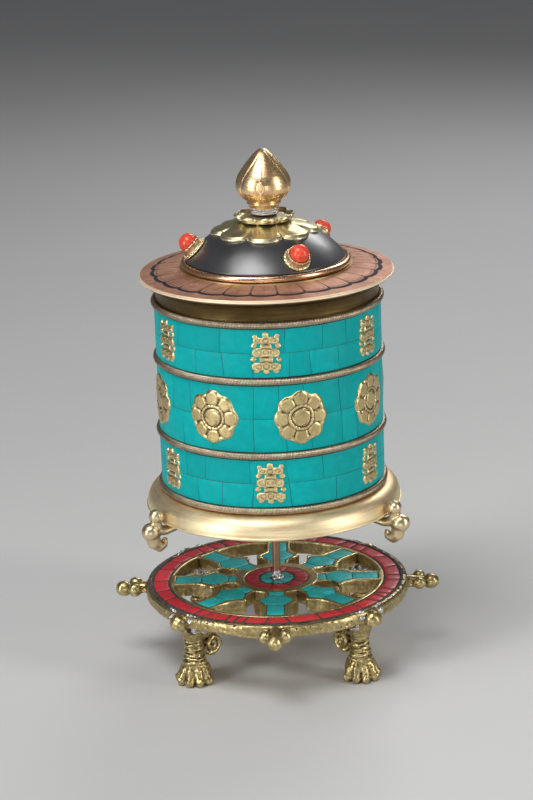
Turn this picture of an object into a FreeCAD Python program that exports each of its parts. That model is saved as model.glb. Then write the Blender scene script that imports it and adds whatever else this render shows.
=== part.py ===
import FreeCAD, Part
import math
import os

from FreeCAD import Vector

# Table-top prayer wheel. Millimetres, +Z up.
# Origin: on the surface it stands on, on the spindle's axis. -Y is the front.
# Heights in this file are above a datum; main() lowers every part so that the soles stand at z = 0.

# ---------------------------------------------------------------- driving dimensions
film = 0.08               # cement, solder or adhesive film between curved faces
running_gap = 0.08        # radial running clearance on the spindle
sliding_gap = 0.15        # radial clearance of the lid's collar in the drum

datum_below_soles = 3.2

# base wheel
wheel_bottom = 28.5
wheel_top = 34.0
wheel_radius = 52.5
rim_inner_radius = 41.7
coral_inner_radius = 43.0
coral_outer_radius = 50.0
inlay_depth = 1.0
cement_below_top = 0.2    # the cement lies a little lower than the chips
cement_joint = 0.35       # width of cement showing beside a chip
hub_radius = 16.8
hub_inlay_radius = 12.9
hub_turquoise_radius = 7.1
spoke_count = 8
knob_tip_radius = 65.0
corner_ball_radius = 3.5
corner_ball_from_axis = 53.2
corner_ball_z = 29.9

# legs
leg_angles = {"front_left": -135, "front_right": -45, "back_left": 135, "back_right": 45}
leg_radius_from_axis = 46.0
paw_turns = {"front_left": 25, "front_right": -25, "back_left": -25, "back_right": 25}

# spindle
spindle_radius = 1.6
spindle_tip_z = 141.0
spindle_cone_height = 2.2
spindle_tip_flat = 0.25
spindle_foot_z = 24.3
washer_thickness = 0.6
spindle_nut_height = 2.4

# drum
drum_bottom = 67.3
floor_thickness = 1.2
bush_radius = 3.4
bush_flange_radius = 5.5
bush_flange_thickness = 1.0
shell_radius = 42.3
shell_thickness = 1.0
drum_top = 152.2
band_radius = 44.1
rope_radius = 1.5
rope_heights = [150.5, 128.5, 99.25, 77.3]
rope_clearance = 0.1      # between a rope ring and the band beside it
ornament_relief = 0.85
medallion_radius = 10.6
medallion_relief = 0.6
boss_radius = 5.0
boss_relief = 1.1
skirt_radius = 50.2
skirt_top = 75.6
skirt_sheet = 0.9
spin_knob_angles = {"left": -148, "right": -28, "back": 92}
scroll_radius = 35.5
scroll_top = 139.5
core_outer_radius = 3.4
core_inner_radius = 2.6
cup_height = 3.5

# lid
plate_radius = 49.5
plate_underside = 159.9
plate_thickness = 0.8
plate_centre_top = 163.0
cornice_foot_radius = 43.4
cornice_lip_radius = 48.5
collar_depth = 6.0
dome_centre_z = 142.0
dome_radius = 39.4
dome_thickness = 1.5
dome_foot_z = 166.25
bead_radius = 1.28
bead_ring_radius = 31.75
seat_ring_radii = (30.4, 33.5)
seat_ring_thickness = 0.6
stone_directions = [(-63.0, 46.4), (47.0, 42.5), (-174.0, 46.4)]    # azimuth and elevation
stone_radius = 3.7
stone_lift = 3.85         # centre of a stone above the dome's surface
bezel_radius = 5.4
bezel_rim_radius = 4.3
bezel_height = 3.3
stud_radius = 1.4
stud_in_jewel = 5.5       # how far the stud reaches into the jewel
finial_nut_height = 2.4
lotus_radius = 21.0
lotus_notch = 2.9         # how far the notches between petals lie inside the tips
lotus_petals = 8
lotus_sheet = 1.2
crown_radius = 11.9
crown_notch = 1.6
crown_petals = 8
crown_turn = 7.0          # the crown's petals are turned a little from the lower ones
crown_sheet = 1.1
neck_bottom = 183.5
neck_radius = 5.3
jewel_bottom = 185.9
jewel_foot_radius = 6.4
jewel_tip_radius = 3.4
jewel_tip_z = 208.7

# derived
inlay_floor = wheel_top - inlay_depth
cement_top = wheel_top - cement_below_top
floor_top = drum_bottom + floor_thickness
axis_z = Vector(0, 0, 1)
origin = Vector(0, 0, 0)


# ---------------------------------------------------------------- helpers
def edges_of(start, steps, place):
    """Edges from start through steps: a step is an end point, or (through, end) for an arc."""
    edges = []
    here = start
    for step in steps:
        if isinstance(step[0], tuple):
            through, end = step
            edges.append(Part.Arc(place(here), place(through), place(end)).toShape())
        else:
            end = step
            edges.append(Part.makeLine(place(here), place(end)))
        here = end
    if place(here).distanceToPoint(place(start)) > 1e-6:
        edges.append(Part.makeLine(place(here), place(start)))
    return edges


def turned(start, steps):
    """Solid of revolution about Z from a closed (radius, height) outline."""
    wire = Part.Wire(edges_of(start, steps, lambda p: Vector(p[0], 0, p[1])))
    return Part.Face(wire).revolve(origin, axis_z, 360)


def plate(start, steps, bottom, top):
    """Upright prism from a closed plan outline."""
    wire = Part.Wire(edges_of(start, steps, lambda p: Vector(p[0], p[1], bottom)))
    return Part.Face(wire).extrude(Vector(0, 0, top - bottom))


def disc(radius, bottom, top):
    return Part.makeCylinder(radius, top - bottom, Vector(0, 0, bottom))


def ring(inner, outer, bottom, top):
    return disc(outer, bottom, top).cut(disc(inner, bottom, top))


def bead(centre_radius, minor_radius, height):
    return Part.makeTorus(centre_radius, minor_radius, Vector(0, 0, height))


def ball(radius, x, y, z):
    return Part.makeSphere(radius, Vector(x, y, z))


def rod(radius, start, end):
    start = Vector(*start)
    end = Vector(*end)
    return Part.makeCylinder(radius, (end - start).Length, start, end - start)


def ellipsoid(half_x, half_y, half_z, x, y, z):
    shape = Part.makeSphere(1.0)
    matrix = FreeCAD.Matrix()
    matrix.scale(half_x, half_y, half_z)
    shape = shape.transformGeometry(matrix)
    shape.translate(Vector(x, y, z))
    return shape


def spun(shape, angle):
    copy = shape.copy()
    copy.rotate(origin, axis_z, angle)
    return copy


def around(shape, angles):
    return [spun(shape, angle) for angle in angles]


def every(count, first=0.0):
    return [first + 360.0 * k / count for k in range(count)]


def fused(shapes):
    return shapes[0].multiFuse(shapes[1:]).removeSplitter()


def mirrored_outline(half):
    """Closed outline steps of a shape that is symmetric about X, from its +Y half."""
    lower = []
    points = [half[0]] + [step[1] if isinstance(step[0], tuple) else step for step in half[1:]]
    for k in range(len(half) - 1, 0, -1):
        step = half[k]
        end = (points[k - 1][0], -points[k - 1][1])
        if isinstance(step[0], tuple):
            lower.append(((step[0][0], -step[0][1]), end))
        else:
            lower.append(end)
    last = points[-1]
    return half[0], half[1:] + [(last[0], -last[1])] + lower


def sector(inner, outer, start, end, bottom, top):
    """Ring sector between two angles in degrees."""
    def at(radius, angle):
        a = math.radians(angle)
        return (radius * math.cos(a), radius * math.sin(a))
    middle = (start + end) / 2
    steps = [
        (at(outer, middle), at(outer, end)),
        at(inner, end),
        (at(inner, middle), at(inner, start)),
    ]
    return plate(at(outer, start), steps, bottom, top)


def chip_ring(count, inner, outer, unevenness):
    """Hand-cut chips of uneven length round a ring, with a cement joint between them."""
    weights = [1 + unevenness * math.sin(2.4 * k) + unevenness / 2 * math.sin(5.1 * k + 1)
               for k in range(count)]
    degrees_per_weight = 360.0 / sum(weights)
    joint = math.degrees(cement_joint / outer)
    chips = []
    start = 0.0
    for weight in weights:
        end = start + weight * degrees_per_weight
        chips.append(sector(inner, outer, start + joint / 2, end - joint / 2, inlay_floor, wheel_top))
        start = end
    return chips


# ---------------------------------------------------------------- base wheel
def spoke_body():
    half = [
        (hub_inlay_radius, 4.0),
        (18.5, 4.3),
        ((23.2, 5.6), (24.8, 8.4)),
        ((25.4, 8.9), (26.2, 8.5)),
        ((31.0, 5.3), (37.0, 4.7)),
        (coral_inner_radius - 0.5, 4.7),
    ]
    start, steps = mirrored_outline(half)
    return plate(start, steps, wheel_bottom, wheel_top)


def spoke_inlay_outline(inset):
    """Plan of the pocket in a spoke: stem, diamond and outer stem, shrunk by inset."""
    half = [
        (13.7 + inset, 3.0 - inset),
        (19.6, 3.3 - inset),
        (25.1, 7.0 - 1.3 * inset),
        (29.6, 3.6 - inset),
        (40.6 - inset, 3.6 - inset),
    ]
    return mirrored_outline(half)


def trefoil():
    """Two side balls and an outer ball on a short neck, pointing along +X."""
    height = 31.0
    outer_ball = 3.3
    outer_x = knob_tip_radius - outer_ball
    side_ball = 2.5
    side_x = 57.2
    side_y = 4.0
    return [
        rod(2.1, (wheel_radius - 1.5, 0, height), (outer_x, 0, height)),
        ball(outer_ball, outer_x, 0, height),
        ball(side_ball, side_x, side_y, height),
        ball(side_ball, side_x, -side_y, height),
        rod(1.7, (side_x, -side_y, height), (side_x, side_y, height)),
    ]


def corner_ball(radius):
    """Ball on the rim over a leg, on +X."""
    return ball(radius, corner_ball_from_axis, 0, corner_ball_z)


def base_wheel():
    rim = ring(rim_inner_radius, wheel_radius, wheel_bottom, wheel_top)
    circles = [edge for edge in rim.Edges if len(edge.Vertexes) == 1]
    outer_edges = [edge for edge in circles if abs(edge.BoundBox.XMax - wheel_radius) < 1e-6]
    rim = rim.makeFillet(0.9, outer_edges)
    bodies = [rim, disc(hub_radius, wheel_bottom, wheel_top)]
    bodies += around(spoke_body(), every(spoke_count))
    for angle in every(4):
        bodies += [spun(shape, angle) for shape in trefoil()]
    for angle in every(4, 45.0):
        bodies.append(spun(corner_ball(corner_ball_radius), angle))
    wheel = fused(bodies)
    start, steps = spoke_inlay_outline(0.0)
    pockets = around(plate(start, steps, inlay_floor, wheel_top + 1), every(spoke_count))
    pockets.append(ring(coral_inner_radius, coral_outer_radius, inlay_floor, wheel_top + 1))
    pockets.append(disc(hub_inlay_radius, inlay_floor, wheel_top + 1))
    pockets.append(disc(spindle_radius + film, wheel_bottom - 1, wheel_top + 1))
    return wheel.cut(Part.makeCompound(pockets))


def rim_inlay():
    chips = chip_ring(38, coral_inner_radius + cement_joint, coral_outer_radius - cement_joint, 0.45)
    bed = ring(coral_inner_radius + film, coral_outer_radius - film, inlay_floor, cement_top)
    return Part.makeCompound(chips), bed.cut(Part.makeCompound(chips))


def spoke_inlay():
    """Three chips in each spoke: inner stem, diamond and outer stem, and the cement round them."""
    start, steps = spoke_inlay_outline(cement_joint)
    whole = plate(start, steps, inlay_floor, wheel_top)
    joints = [0.0, 19.8, 30.2, wheel_radius]
    width = 20.0
    chips = []
    for inner, outer in zip(joints[:-1], joints[1:]):
        corner = Vector(inner + cement_joint / 2, -width / 2, inlay_floor)
        window = Part.makeBox(outer - inner - cement_joint, width, 2 * inlay_depth, corner)
        chips.append(whole.common(window))
    start, steps = spoke_inlay_outline(0.0)
    bed = plate(start, steps, inlay_floor, cement_top).cut(Part.makeCompound(chips))
    all_chips = [spun(chip, angle) for angle in every(spoke_count) for chip in chips]
    return Part.makeCompound(all_chips), Part.makeCompound(around(bed, every(spoke_count)))


def hub_inlay():
    coral = chip_ring(11, hub_turquoise_radius + cement_joint, hub_inlay_radius - cement_joint, 0.2)
    turquoise = chip_ring(5, spindle_radius + 0.8, hub_turquoise_radius - cement_joint, 0.25)
    bed = ring(spindle_radius + film, hub_inlay_radius - film, inlay_floor, cement_top)
    bed = bed.cut(Part.makeCompound(coral + turquoise))
    return Part.makeCompound(coral), Part.makeCompound(turquoise), bed


# ---------------------------------------------------------------- legs
def ellipse_wire(centre_x, half_x, half_y, height):
    major = max(half_x, half_y)
    minor = min(half_x, half_y)
    ellipse = Part.Ellipse(origin, major, minor).toShape()
    if half_y > half_x:
        ellipse.rotate(origin, axis_z, 90)
    ellipse.translate(Vector(centre_x, 0, height))
    return Part.Wire([ellipse])


def paw(turn):
    """Lion's paw round the Z axis, its toes fanned about +X and turned by an angle."""
    shapes = [ellipsoid(6.4, 7.0, 6.8, 0, 0, datum_below_soles + 4.6)]
    toe_reach = 4.6
    side_bulge = 0.9
    for angle in (-78, -39, 0, 39, 78):
        toe = spun(ellipsoid(2.4, 2.0, 2.8, toe_reach, 0, datum_below_soles + 2.4), angle)
        toe.translate(Vector(0, side_bulge * math.sin(math.radians(angle)), 0))
        shapes.append(toe)
    return [spun(shape, turn) for shape in shapes]


def leg(turn):
    """Upright leg on +X: grooved column, paw turned about it, and a scroll towards the axis."""
    column_x = leg_radius_from_axis
    ankle_z = 15.0
    sections = [
        ellipse_wire(column_x, 5.2, 5.4, 8.7),
        ellipse_wire(column_x, 3.9, 4.0, ankle_z),
        ellipse_wire(column_x, 3.5, 3.6, 20.0),
        ellipse_wire(column_x + 0.2, 4.2, 4.6, 24.0),
        ellipse_wire(column_x + 0.5, 5.0, 5.6, wheel_bottom),
    ]
    shapes = [Part.makeLoft(sections, True)]
    for shape in paw(turn):
        shape.translate(Vector(column_x, 0, 0))
        shapes.append(shape)
    for height in (ankle_z - 0.6, ankle_z + 1.4):
        wrinkle = bead(3.8, 0.6, height)
        wrinkle.translate(Vector(column_x, 0, 0))
        shapes.append(wrinkle)
    scroll_x = 36.8
    scroll_z = 17.0
    wing = [
        (scroll_x - 3.4, wheel_bottom),
        (scroll_x - 3.0, 23.0),
        ((scroll_x - 4.1, 20.0), (scroll_x - 3.6, scroll_z - 1.0)),
        ((scroll_x, scroll_z - 4.1), (scroll_x + 3.2, scroll_z - 1.8)),
        ((scroll_x + 4.8, 17.4), (scroll_x + 9.0, 18.0)),
        (column_x + 1.0, wheel_bottom),
    ]
    wire = Part.Wire(edges_of(wing[0], wing[1:], lambda p: Vector(p[0], -2.4, p[1])))
    shapes.append(Part.Face(wire).extrude(Vector(0, 4.8, 0)))
    shapes.append(rod(2.8, (scroll_x, -3.0, scroll_z), (scroll_x, 3.0, scroll_z)))
    whole = fused(shapes)
    leg_height = wheel_bottom - datum_below_soles
    above_ground = Part.makeBox(60, 60, leg_height, Vector(20, -30, datum_below_soles))
    return whole.common(above_ground).cut(corner_ball(corner_ball_radius + film))


def leg_solder():
    """Solder blobs on the rim's top and under it, beside each leg."""
    on_top = [(51.0, 5.2, 0.9), (51.2, -4.9, 0.8), (51.3, 3.4, 0.55)]
    underneath = [(45.6, 7.5, 1.7), (45.0, -7.3, 1.6), (49.6, 6.8, 1.3), (49.4, -6.9, 1.4)]
    blobs = []
    for x, y, radius in on_top:
        blobs.append(Part.makeSphere(radius, Vector(x, y, wheel_top), axis_z, 0, 90, 360))
    for x, y, radius in underneath:
        blobs.append(Part.makeSphere(radius, Vector(x, y, wheel_bottom), axis_z, -90, 0, 360))
    return Part.makeCompound([spun(blob, angle) for angle in leg_angles.values() for blob in blobs])


# ---------------------------------------------------------------- spindle
def hexagon_nut(across_flats, bore, bottom, top):
    corner = across_flats / math.sqrt(3)
    points = [(corner * math.cos(math.radians(a)), corner * math.sin(math.radians(a))) for a in every(6)]
    return plate(points[0], points[1:], bottom, top).cut(disc(bore, bottom, top))


def spindle():
    return turned(
        (0, spindle_foot_z),
        [
            (spindle_radius, spindle_foot_z),
            (spindle_radius, spindle_tip_z - spindle_cone_height),
            (spindle_tip_flat, spindle_tip_z),
            (0, spindle_tip_z),
        ],
    )


# ---------------------------------------------------------------- drum
def floor_bush():
    flange_bottom = drum_bottom - bush_flange_thickness
    flange = disc(bush_flange_radius, flange_bottom, drum_bottom)
    barrel = disc(bush_radius, drum_bottom, floor_top)
    return fused([flange, barrel]).cut(disc(spindle_radius + running_gap, flange_bottom, floor_top))


def pivot_cup():
    """Cup with a cone in its underside that rides on the spindle's point."""
    body = disc(core_outer_radius, scroll_top, scroll_top + cup_height)
    depth = spindle_tip_z + 0.1 - scroll_top
    cone = Part.makeCone(2.1, 0.3, depth, Vector(0, 0, scroll_top))
    return body.cut(cone)


cutter_front = -band_radius - 3.0    # relief cutters start in front of the band and reach through it
cutter_depth = Vector(0, 12.0, 0)


def on_the_band(cutter, relief):
    """Bend a flat relief shape round the band: keep what lies between two cylinders."""
    return cutter.common(ring(band_radius + film, band_radius + relief, drum_bottom, drum_top))


def lozenge(half_width, half_height, centre_z):
    """A rounded diamond standing on the front of the drum."""
    shoulder_x = half_width * 0.55
    shoulder_z = half_height * 0.8
    points = [
        (-half_width, centre_z),
        ((-shoulder_x, centre_z + shoulder_z), (0, centre_z + half_height)),
        ((shoulder_x, centre_z + shoulder_z), (half_width, centre_z)),
        ((shoulder_x, centre_z - shoulder_z), (0, centre_z - half_height)),
        ((-shoulder_x, centre_z - shoulder_z), (-half_width, centre_z)),
    ]
    wire = Part.Wire(edges_of(points[0], points[1:], lambda p: Vector(p[0], cutter_front, p[1])))
    return Part.Face(wire).extrude(cutter_depth)


def stacked_ornament(centre_z):
    """Three lozenges on a stem: a plain repeating motif."""
    stem_width = 2.2
    stem_height = 13.0
    spacing = 4.6
    corner = Vector(-stem_width / 2, cutter_front, centre_z - stem_height / 2)
    stem = Part.makeBox(stem_width, cutter_depth.y, stem_height, corner)
    half_height = 2.4
    tiers = [
        lozenge(6.0, half_height, centre_z + spacing),
        lozenge(4.8, half_height, centre_z),
        lozenge(6.0, half_height, centre_z - spacing),
    ]
    return fused([stem] + tiers)


def ornament_ring(centre_z):
    motif = on_the_band(stacked_ornament(centre_z), ornament_relief)
    return Part.makeCompound(around(motif, every(6)))


def medallion_ring(centre_z):
    """Eight round medallions, each a disc with a raised centre."""
    start = Vector(0, cutter_front, centre_z)
    face = Part.makeCylinder(medallion_radius, cutter_depth.y, start, cutter_depth)
    boss = Part.makeCylinder(boss_radius, cutter_depth.y, start, cutter_depth)
    medallion = fused([on_the_band(face, medallion_relief), on_the_band(boss, boss_relief)])
    return Part.makeCompound(around(medallion, every(8, 16.5)))


def skirt():
    shell_side = shell_radius + film
    inner = skirt_radius - skirt_sheet
    return turned(
        (shell_side, skirt_top),
        [
            (44.7, skirt_top),
            ((48.9, 73.6), (skirt_radius, 69.8)),
            (skirt_radius, 68.7),
            ((skirt_radius + 0.35, 68.0), (skirt_radius, drum_bottom)),
            (inner, drum_bottom),
            (inner, 69.7),
            ((48.1, 73.0), (44.4, skirt_top - skirt_sheet)),
            (shell_side, skirt_top - skirt_sheet),
        ],
    )


def spin_knob():
    """Three-ball finger knob on an arm that lies under the drum's floor, pointing along +X."""
    arm_centre = drum_bottom - 1.6
    arm_root = 37.0
    out_x = 56.0
    up = (53.6, 72.4)
    down = (53.0, 59.4)
    arm = Part.makeBox(out_x - arm_root, 4.6, 3.0, Vector(arm_root, -2.3, drum_bottom - 3.0))
    shapes = [
        arm,
        ball(3.9, out_x, 0, arm_centre - 0.8),
        ball(2.9, up[0], 0, up[1]),
        rod(1.7, (53.6, 0, arm_centre), (up[0], 0, up[1])),
        ball(3.0, down[0], 0, down[1]),
        rod(2.4, (out_x - 1, 0, arm_centre - 1), (down[0], 0, down[1])),
    ]
    return fused(shapes)


# ---------------------------------------------------------------- lid
def cornice():
    collar_outer = shell_radius - shell_thickness - sliding_gap
    collar_inner = collar_outer - 0.9
    return turned(
        (collar_inner, drum_top - collar_depth),
        [
            (collar_outer, drum_top - collar_depth),
            (collar_outer, drum_top),
            (cornice_foot_radius, drum_top),
            (cornice_foot_radius, drum_top + 1.0),
            ((44.4, 156.6), (cornice_lip_radius, 159.3)),
            (cornice_lip_radius, plate_underside),
            (cornice_lip_radius - 2.4, plate_underside),
            ((43.4, 156.9), (collar_inner + 1.4, drum_top + 1.2)),
            (collar_inner, drum_top + 1.2),
        ],
    )


def top_plate():
    """Copper disc that rises from a flat border to a raised middle."""
    hole = stud_radius + film
    edge_top = plate_underside + plate_thickness
    return turned(
        (plate_radius, plate_underside),
        [
            (plate_radius, edge_top),
            (45.0, edge_top + 0.3),
            (34.5, plate_centre_top),
            (hole, plate_centre_top),
            (hole, plate_centre_top - plate_thickness),
            (34.3, plate_centre_top - plate_thickness),
            (46.5, plate_underside),
        ],
    )


def spherical_shell(inner, outer, above, bore):
    """Part of a hollow sphere above a height, bored for the stud."""
    centre = Vector(0, 0, dome_centre_z)
    shell = Part.makeSphere(outer, centre).cut(Part.makeSphere(inner, centre))
    below = Part.makeBox(200, 200, 200, Vector(-100, -100, above - 200))
    return shell.cut(below).cut(disc(bore, dome_centre_z, dome_centre_z + 60))


def on_stone_axis(elevation, distance):
    """Point on a stone's axis, at a distance from the dome's centre, in the XZ plane."""
    slope = math.radians(elevation)
    normal = Vector(math.cos(slope), 0, math.sin(slope))
    return Vector(0, 0, dome_centre_z) + normal * distance, normal


def set_stone(elevation):
    """Round stone in a flanged cup that fits the dome's curve and clears the bead at its foot."""
    foot, normal = on_stone_axis(elevation, dome_radius - 1.0)
    centre = on_stone_axis(elevation, dome_radius + stone_lift)[0]
    flange = Part.makeCylinder(bezel_radius, 1.9, foot, normal)
    collar = Part.makeCone(bezel_rim_radius + 0.6, bezel_rim_radius, bezel_height + 1.0, foot, normal)
    seat = Part.makeSphere(stone_radius + film, centre)
    bore = Part.makeCylinder(stone_radius - 0.6, bezel_height + 2.0, foot, normal)
    dome_ball = Part.makeSphere(dome_radius + film, Vector(0, 0, dome_centre_z))
    dome_foot = disc(bead_ring_radius + bead_radius, dome_foot_z - 5.0, dome_foot_z + film)
    bezel = fused([flange, collar]).cut(Part.makeCompound([seat, bore, dome_foot])).cut(dome_ball)
    whole_bezel = max(bezel.Solids, key=lambda solid: solid.Volume)
    return whole_bezel, Part.makeSphere(stone_radius, centre)


def set_stones():
    bezels = []
    stones = []
    for azimuth, elevation in stone_directions:
        bezel, stone = set_stone(elevation)
        bezels.append(spun(bezel, azimuth))
        stones.append(spun(stone, azimuth))
    return Part.makeCompound(bezels), Part.makeCompound(stones)


def petal_outline(radius, petals, notch):
    """Round outline with one outward arc for each petal, meeting in notches."""
    def at(r, angle):
        a = math.radians(angle)
        return (r * math.cos(a), r * math.sin(a))
    step = 360.0 / petals
    steps = []
    for k in range(petals):
        begin = -90 + k * step - step / 2
        steps.append((at(radius, begin + step / 2), at(notch, begin + step)))
    return at(notch, -90 - step / 2), steps


def lotus_tier(inner, sheet, radius, notch, petals):
    """One tier of petals: a scalloped piece of a hollow sphere."""
    cap = spherical_shell(inner, inner + sheet, dome_centre_z, stud_radius + film)
    start, steps = petal_outline(radius, petals, radius - notch)
    return cap.common(plate(start, steps, dome_centre_z, dome_centre_z + inner + 10))


def lotus():
    lower_inner = dome_radius + 0.2
    upper_inner = lower_inner + lotus_sheet + 0.1
    lower = lotus_tier(lower_inner, lotus_sheet, lotus_radius, lotus_notch, lotus_petals)
    upper = lotus_tier(upper_inner, crown_sheet, crown_radius, crown_notch, crown_petals)
    upper = upper.cut(disc(crown_radius, neck_bottom, jewel_bottom))
    return lower, spun(upper, crown_turn)


def finial_jewel():
    """Bud-shaped jewel with a collar at its foot, bored for the stud."""
    def tip(angle):
        a = math.radians(angle)
        return (jewel_tip_radius * math.cos(a), jewel_tip_z - jewel_tip_radius * (1 - math.sin(a)))

    bud = turned(
        (0, jewel_bottom),
        [
            (jewel_foot_radius, jewel_bottom),
            (jewel_foot_radius + 0.2, jewel_bottom + 2.6),
            ((10.75, 194.4), (9.7, 198.6)),
            ((6.9, 202.8), tip(30)),
            (tip(60), (0, jewel_tip_z)),
        ],
    )
    return bud.cut(disc(stud_radius + film, jewel_bottom, jewel_bottom + stud_in_jewel + 0.5))


# ---------------------------------------------------------------- assembly
def base_parts():
    coral, coral_bed = rim_inlay()
    turquoise, turquoise_bed = spoke_inlay()
    hub_coral, hub_turquoise, hub_bed = hub_inlay()
    washer_bottom = wheel_bottom - washer_thickness
    nut_bottom = washer_bottom - spindle_nut_height
    parts = {
        "base_wheel": base_wheel(),
        "leg_solder": leg_solder(),
        "rim_coral_chips": coral,
        "rim_cement": coral_bed,
        "spoke_turquoise_chips": turquoise,
        "spoke_cement": turquoise_bed,
        "hub_coral_chips": hub_coral,
        "hub_turquoise_chips": hub_turquoise,
        "hub_cement": hub_bed,
        "spindle": spindle(),
        "spindle_washer": ring(spindle_radius + film, 4.0, washer_bottom, wheel_bottom),
        "spindle_nut": hexagon_nut(5.5, spindle_radius + film, nut_bottom, washer_bottom),
    }
    for place, angle in leg_angles.items():
        parts["leg_" + place] = spun(leg(paw_turns[place]), angle)
    return parts


def drum_parts():
    bush_hole = bush_radius + film
    shell_inner = shell_radius - shell_thickness
    band_inner = shell_radius + film
    inside_skirt = skirt_radius - skirt_sheet - film
    tops = [height - rope_radius - rope_clearance for height in rope_heights[:-1]]
    bottoms = [height + rope_radius + rope_clearance for height in rope_heights[1:]]
    centres = [(top + bottom) / 2 for top, bottom in zip(tops, bottoms)]
    names = ["upper_band", "middle_band", "lower_band"]
    parts = {
        "drum_shell": ring(shell_inner, shell_radius, floor_top, drum_top),
        "drum_floor": ring(bush_hole, inside_skirt, drum_bottom, floor_top),
        "floor_bush": floor_bush(),
        "core_tube": ring(core_inner_radius, core_outer_radius, floor_top, scroll_top),
        "pivot_cup": pivot_cup(),
        "prayer_scroll": ring(core_outer_radius + film, scroll_radius, floor_top, scroll_top),
        "skirt": skirt(),
        "upper_ornaments": ornament_ring(centres[0]),
        "middle_medallions": medallion_ring(centres[1]),
        "lower_ornaments": ornament_ring(centres[2]),
    }
    for name, bottom, top in zip(names, bottoms, tops):
        parts[name] = ring(band_inner, band_radius, bottom, top)
    for number, height in enumerate(rope_heights, start=1):
        parts["rope_ring_%d" % number] = bead(shell_radius + film + rope_radius, rope_radius, height)
    knob = spin_knob()
    for place, angle in spin_knob_angles.items():
        parts["spin_knob_" + place] = spun(knob, angle)
    return parts


def lid_parts():
    bezels, stones = set_stones()
    lotus_lower, lotus_upper = lotus()
    bore = stud_radius + film
    nut_top = plate_centre_top - plate_thickness
    nut_bottom = nut_top - finial_nut_height
    seat_top = plate_centre_top + seat_ring_thickness
    return {
        "cornice": cornice(),
        "top_plate": top_plate(),
        "dome_seat_ring": ring(*seat_ring_radii, plate_centre_top, seat_top),
        "dome_bead_ring": bead(bead_ring_radius, bead_radius, dome_foot_z - bead_radius - 0.04),
        "dome": spherical_shell(dome_radius - dome_thickness, dome_radius, dome_foot_z, bore),
        "stone_bezels": bezels,
        "coral_stones": stones,
        "lotus_lower": lotus_lower,
        "lotus_upper": lotus_upper,
        "finial_neck": ring(bore, neck_radius, neck_bottom, jewel_bottom),
        "finial_jewel": finial_jewel(),
        "finial_stud": disc(stud_radius, nut_bottom - 1.0, jewel_bottom + stud_in_jewel),
        "finial_nut": hexagon_nut(5.0, bore, nut_bottom, nut_top),
    }


def main():
    os.makedirs("parts", exist_ok=True)
    parts = {}
    parts.update(base_parts())
    parts.update(drum_parts())
    parts.update(lid_parts())
    for name, shape in parts.items():
        print(name, "valid" if shape.isValid() else "INVALID", len(shape.Solids), round(shape.Volume, 1))
        shape.translate(Vector(0, 0, -datum_below_soles))
        shape.exportStep("parts/" + name + ".step")


main()
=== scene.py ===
import math

import bpy
import numpy as np
from mathutils import Matrix, Vector


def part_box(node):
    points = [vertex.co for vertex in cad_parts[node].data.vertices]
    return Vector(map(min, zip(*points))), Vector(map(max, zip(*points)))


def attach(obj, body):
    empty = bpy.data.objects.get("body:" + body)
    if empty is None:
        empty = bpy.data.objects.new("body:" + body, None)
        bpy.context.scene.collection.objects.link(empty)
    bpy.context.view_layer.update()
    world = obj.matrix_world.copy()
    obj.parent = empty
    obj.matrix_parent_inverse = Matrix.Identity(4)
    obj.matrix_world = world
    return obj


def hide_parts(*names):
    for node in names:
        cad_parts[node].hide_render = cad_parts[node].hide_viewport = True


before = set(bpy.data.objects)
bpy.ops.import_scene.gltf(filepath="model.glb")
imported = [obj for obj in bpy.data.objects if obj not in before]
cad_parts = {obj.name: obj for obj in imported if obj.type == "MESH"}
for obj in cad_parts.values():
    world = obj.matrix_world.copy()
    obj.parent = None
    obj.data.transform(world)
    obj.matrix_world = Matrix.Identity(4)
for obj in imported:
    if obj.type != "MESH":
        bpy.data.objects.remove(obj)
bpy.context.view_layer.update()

MM = 0.001
TAU = 2 * math.pi

# Lengths below are in millimetres, and heights are above a datum 3.2 mm under the soles, as in the
# part's source. Build.object and set_coordinates turn them into metres above the soles.
DATUM = Vector((0, 0, 3.2))

# Distance between the balls of a limb, as a share of their radius; then, for cut chips, the length of
# one straight piece of a curved side, the bevel, and the gap to the edge of a spoke's pocket.
LIMB_SPACING = 0.22
CHIP_STEP = 1.6
CHIP_BEVEL = 0.16
CHIP_GAP = 0.28


# ================================================================ places, from the frame
def low(node):
    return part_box(node)[0] / MM + DATUM


def high(node):
    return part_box(node)[1] / MM + DATUM


WHEEL_TOP = high("rim_coral_chips").z
WHEEL_BOTTOM = high("leg_front_left").z
RIM_RADIUS = 52.5
KNOB_TIP = high("base_wheel").x
CORAL_OUTER = high("rim_cement").x
CORAL_INNER = CORAL_OUTER - 7
RIM_INNER = CORAL_INNER - 1.3
HUB_INLAY = high("hub_cement").x
BAND_RADIUS = high("upper_band").x
SHELL_RADIUS = high("drum_shell").x
SKIRT_TOP = high("skirt").z
SKIRT_RADIUS = high("skirt").x - 0.35
PLATE_UNDER = low("top_plate").z
PLATE_RADIUS = high("top_plate").x
BEAD_OUTER = high("dome_bead_ring").x
BEAD_LOW = low("dome_bead_ring").z
BEAD_HIGH = high("dome_bead_ring").z
DOME_TOP = high("dome").z
DOME_FOOT = low("dome").z
DOME_SPHERE = 39.4
DOME_CENTRE = DOME_TOP - DOME_SPHERE
NECK_BOTTOM = low("finial_neck").z
NECK_RADIUS = high("finial_neck").x
JEWEL_BOTTOM = low("finial_jewel").z
JEWEL_TIP = high("finial_jewel").z


# ================================================================ mesh tools
def enclosed_volume(vertices, faces):
    triangles = np.array([(face[0], face[k], face[k + 1]) for face in faces for k in range(1, len(face) - 1)])
    a, b, c = (vertices[triangles[:, k]] for k in range(3))
    return np.einsum("ij,ij->i", a, np.cross(b, c)).sum()


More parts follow.
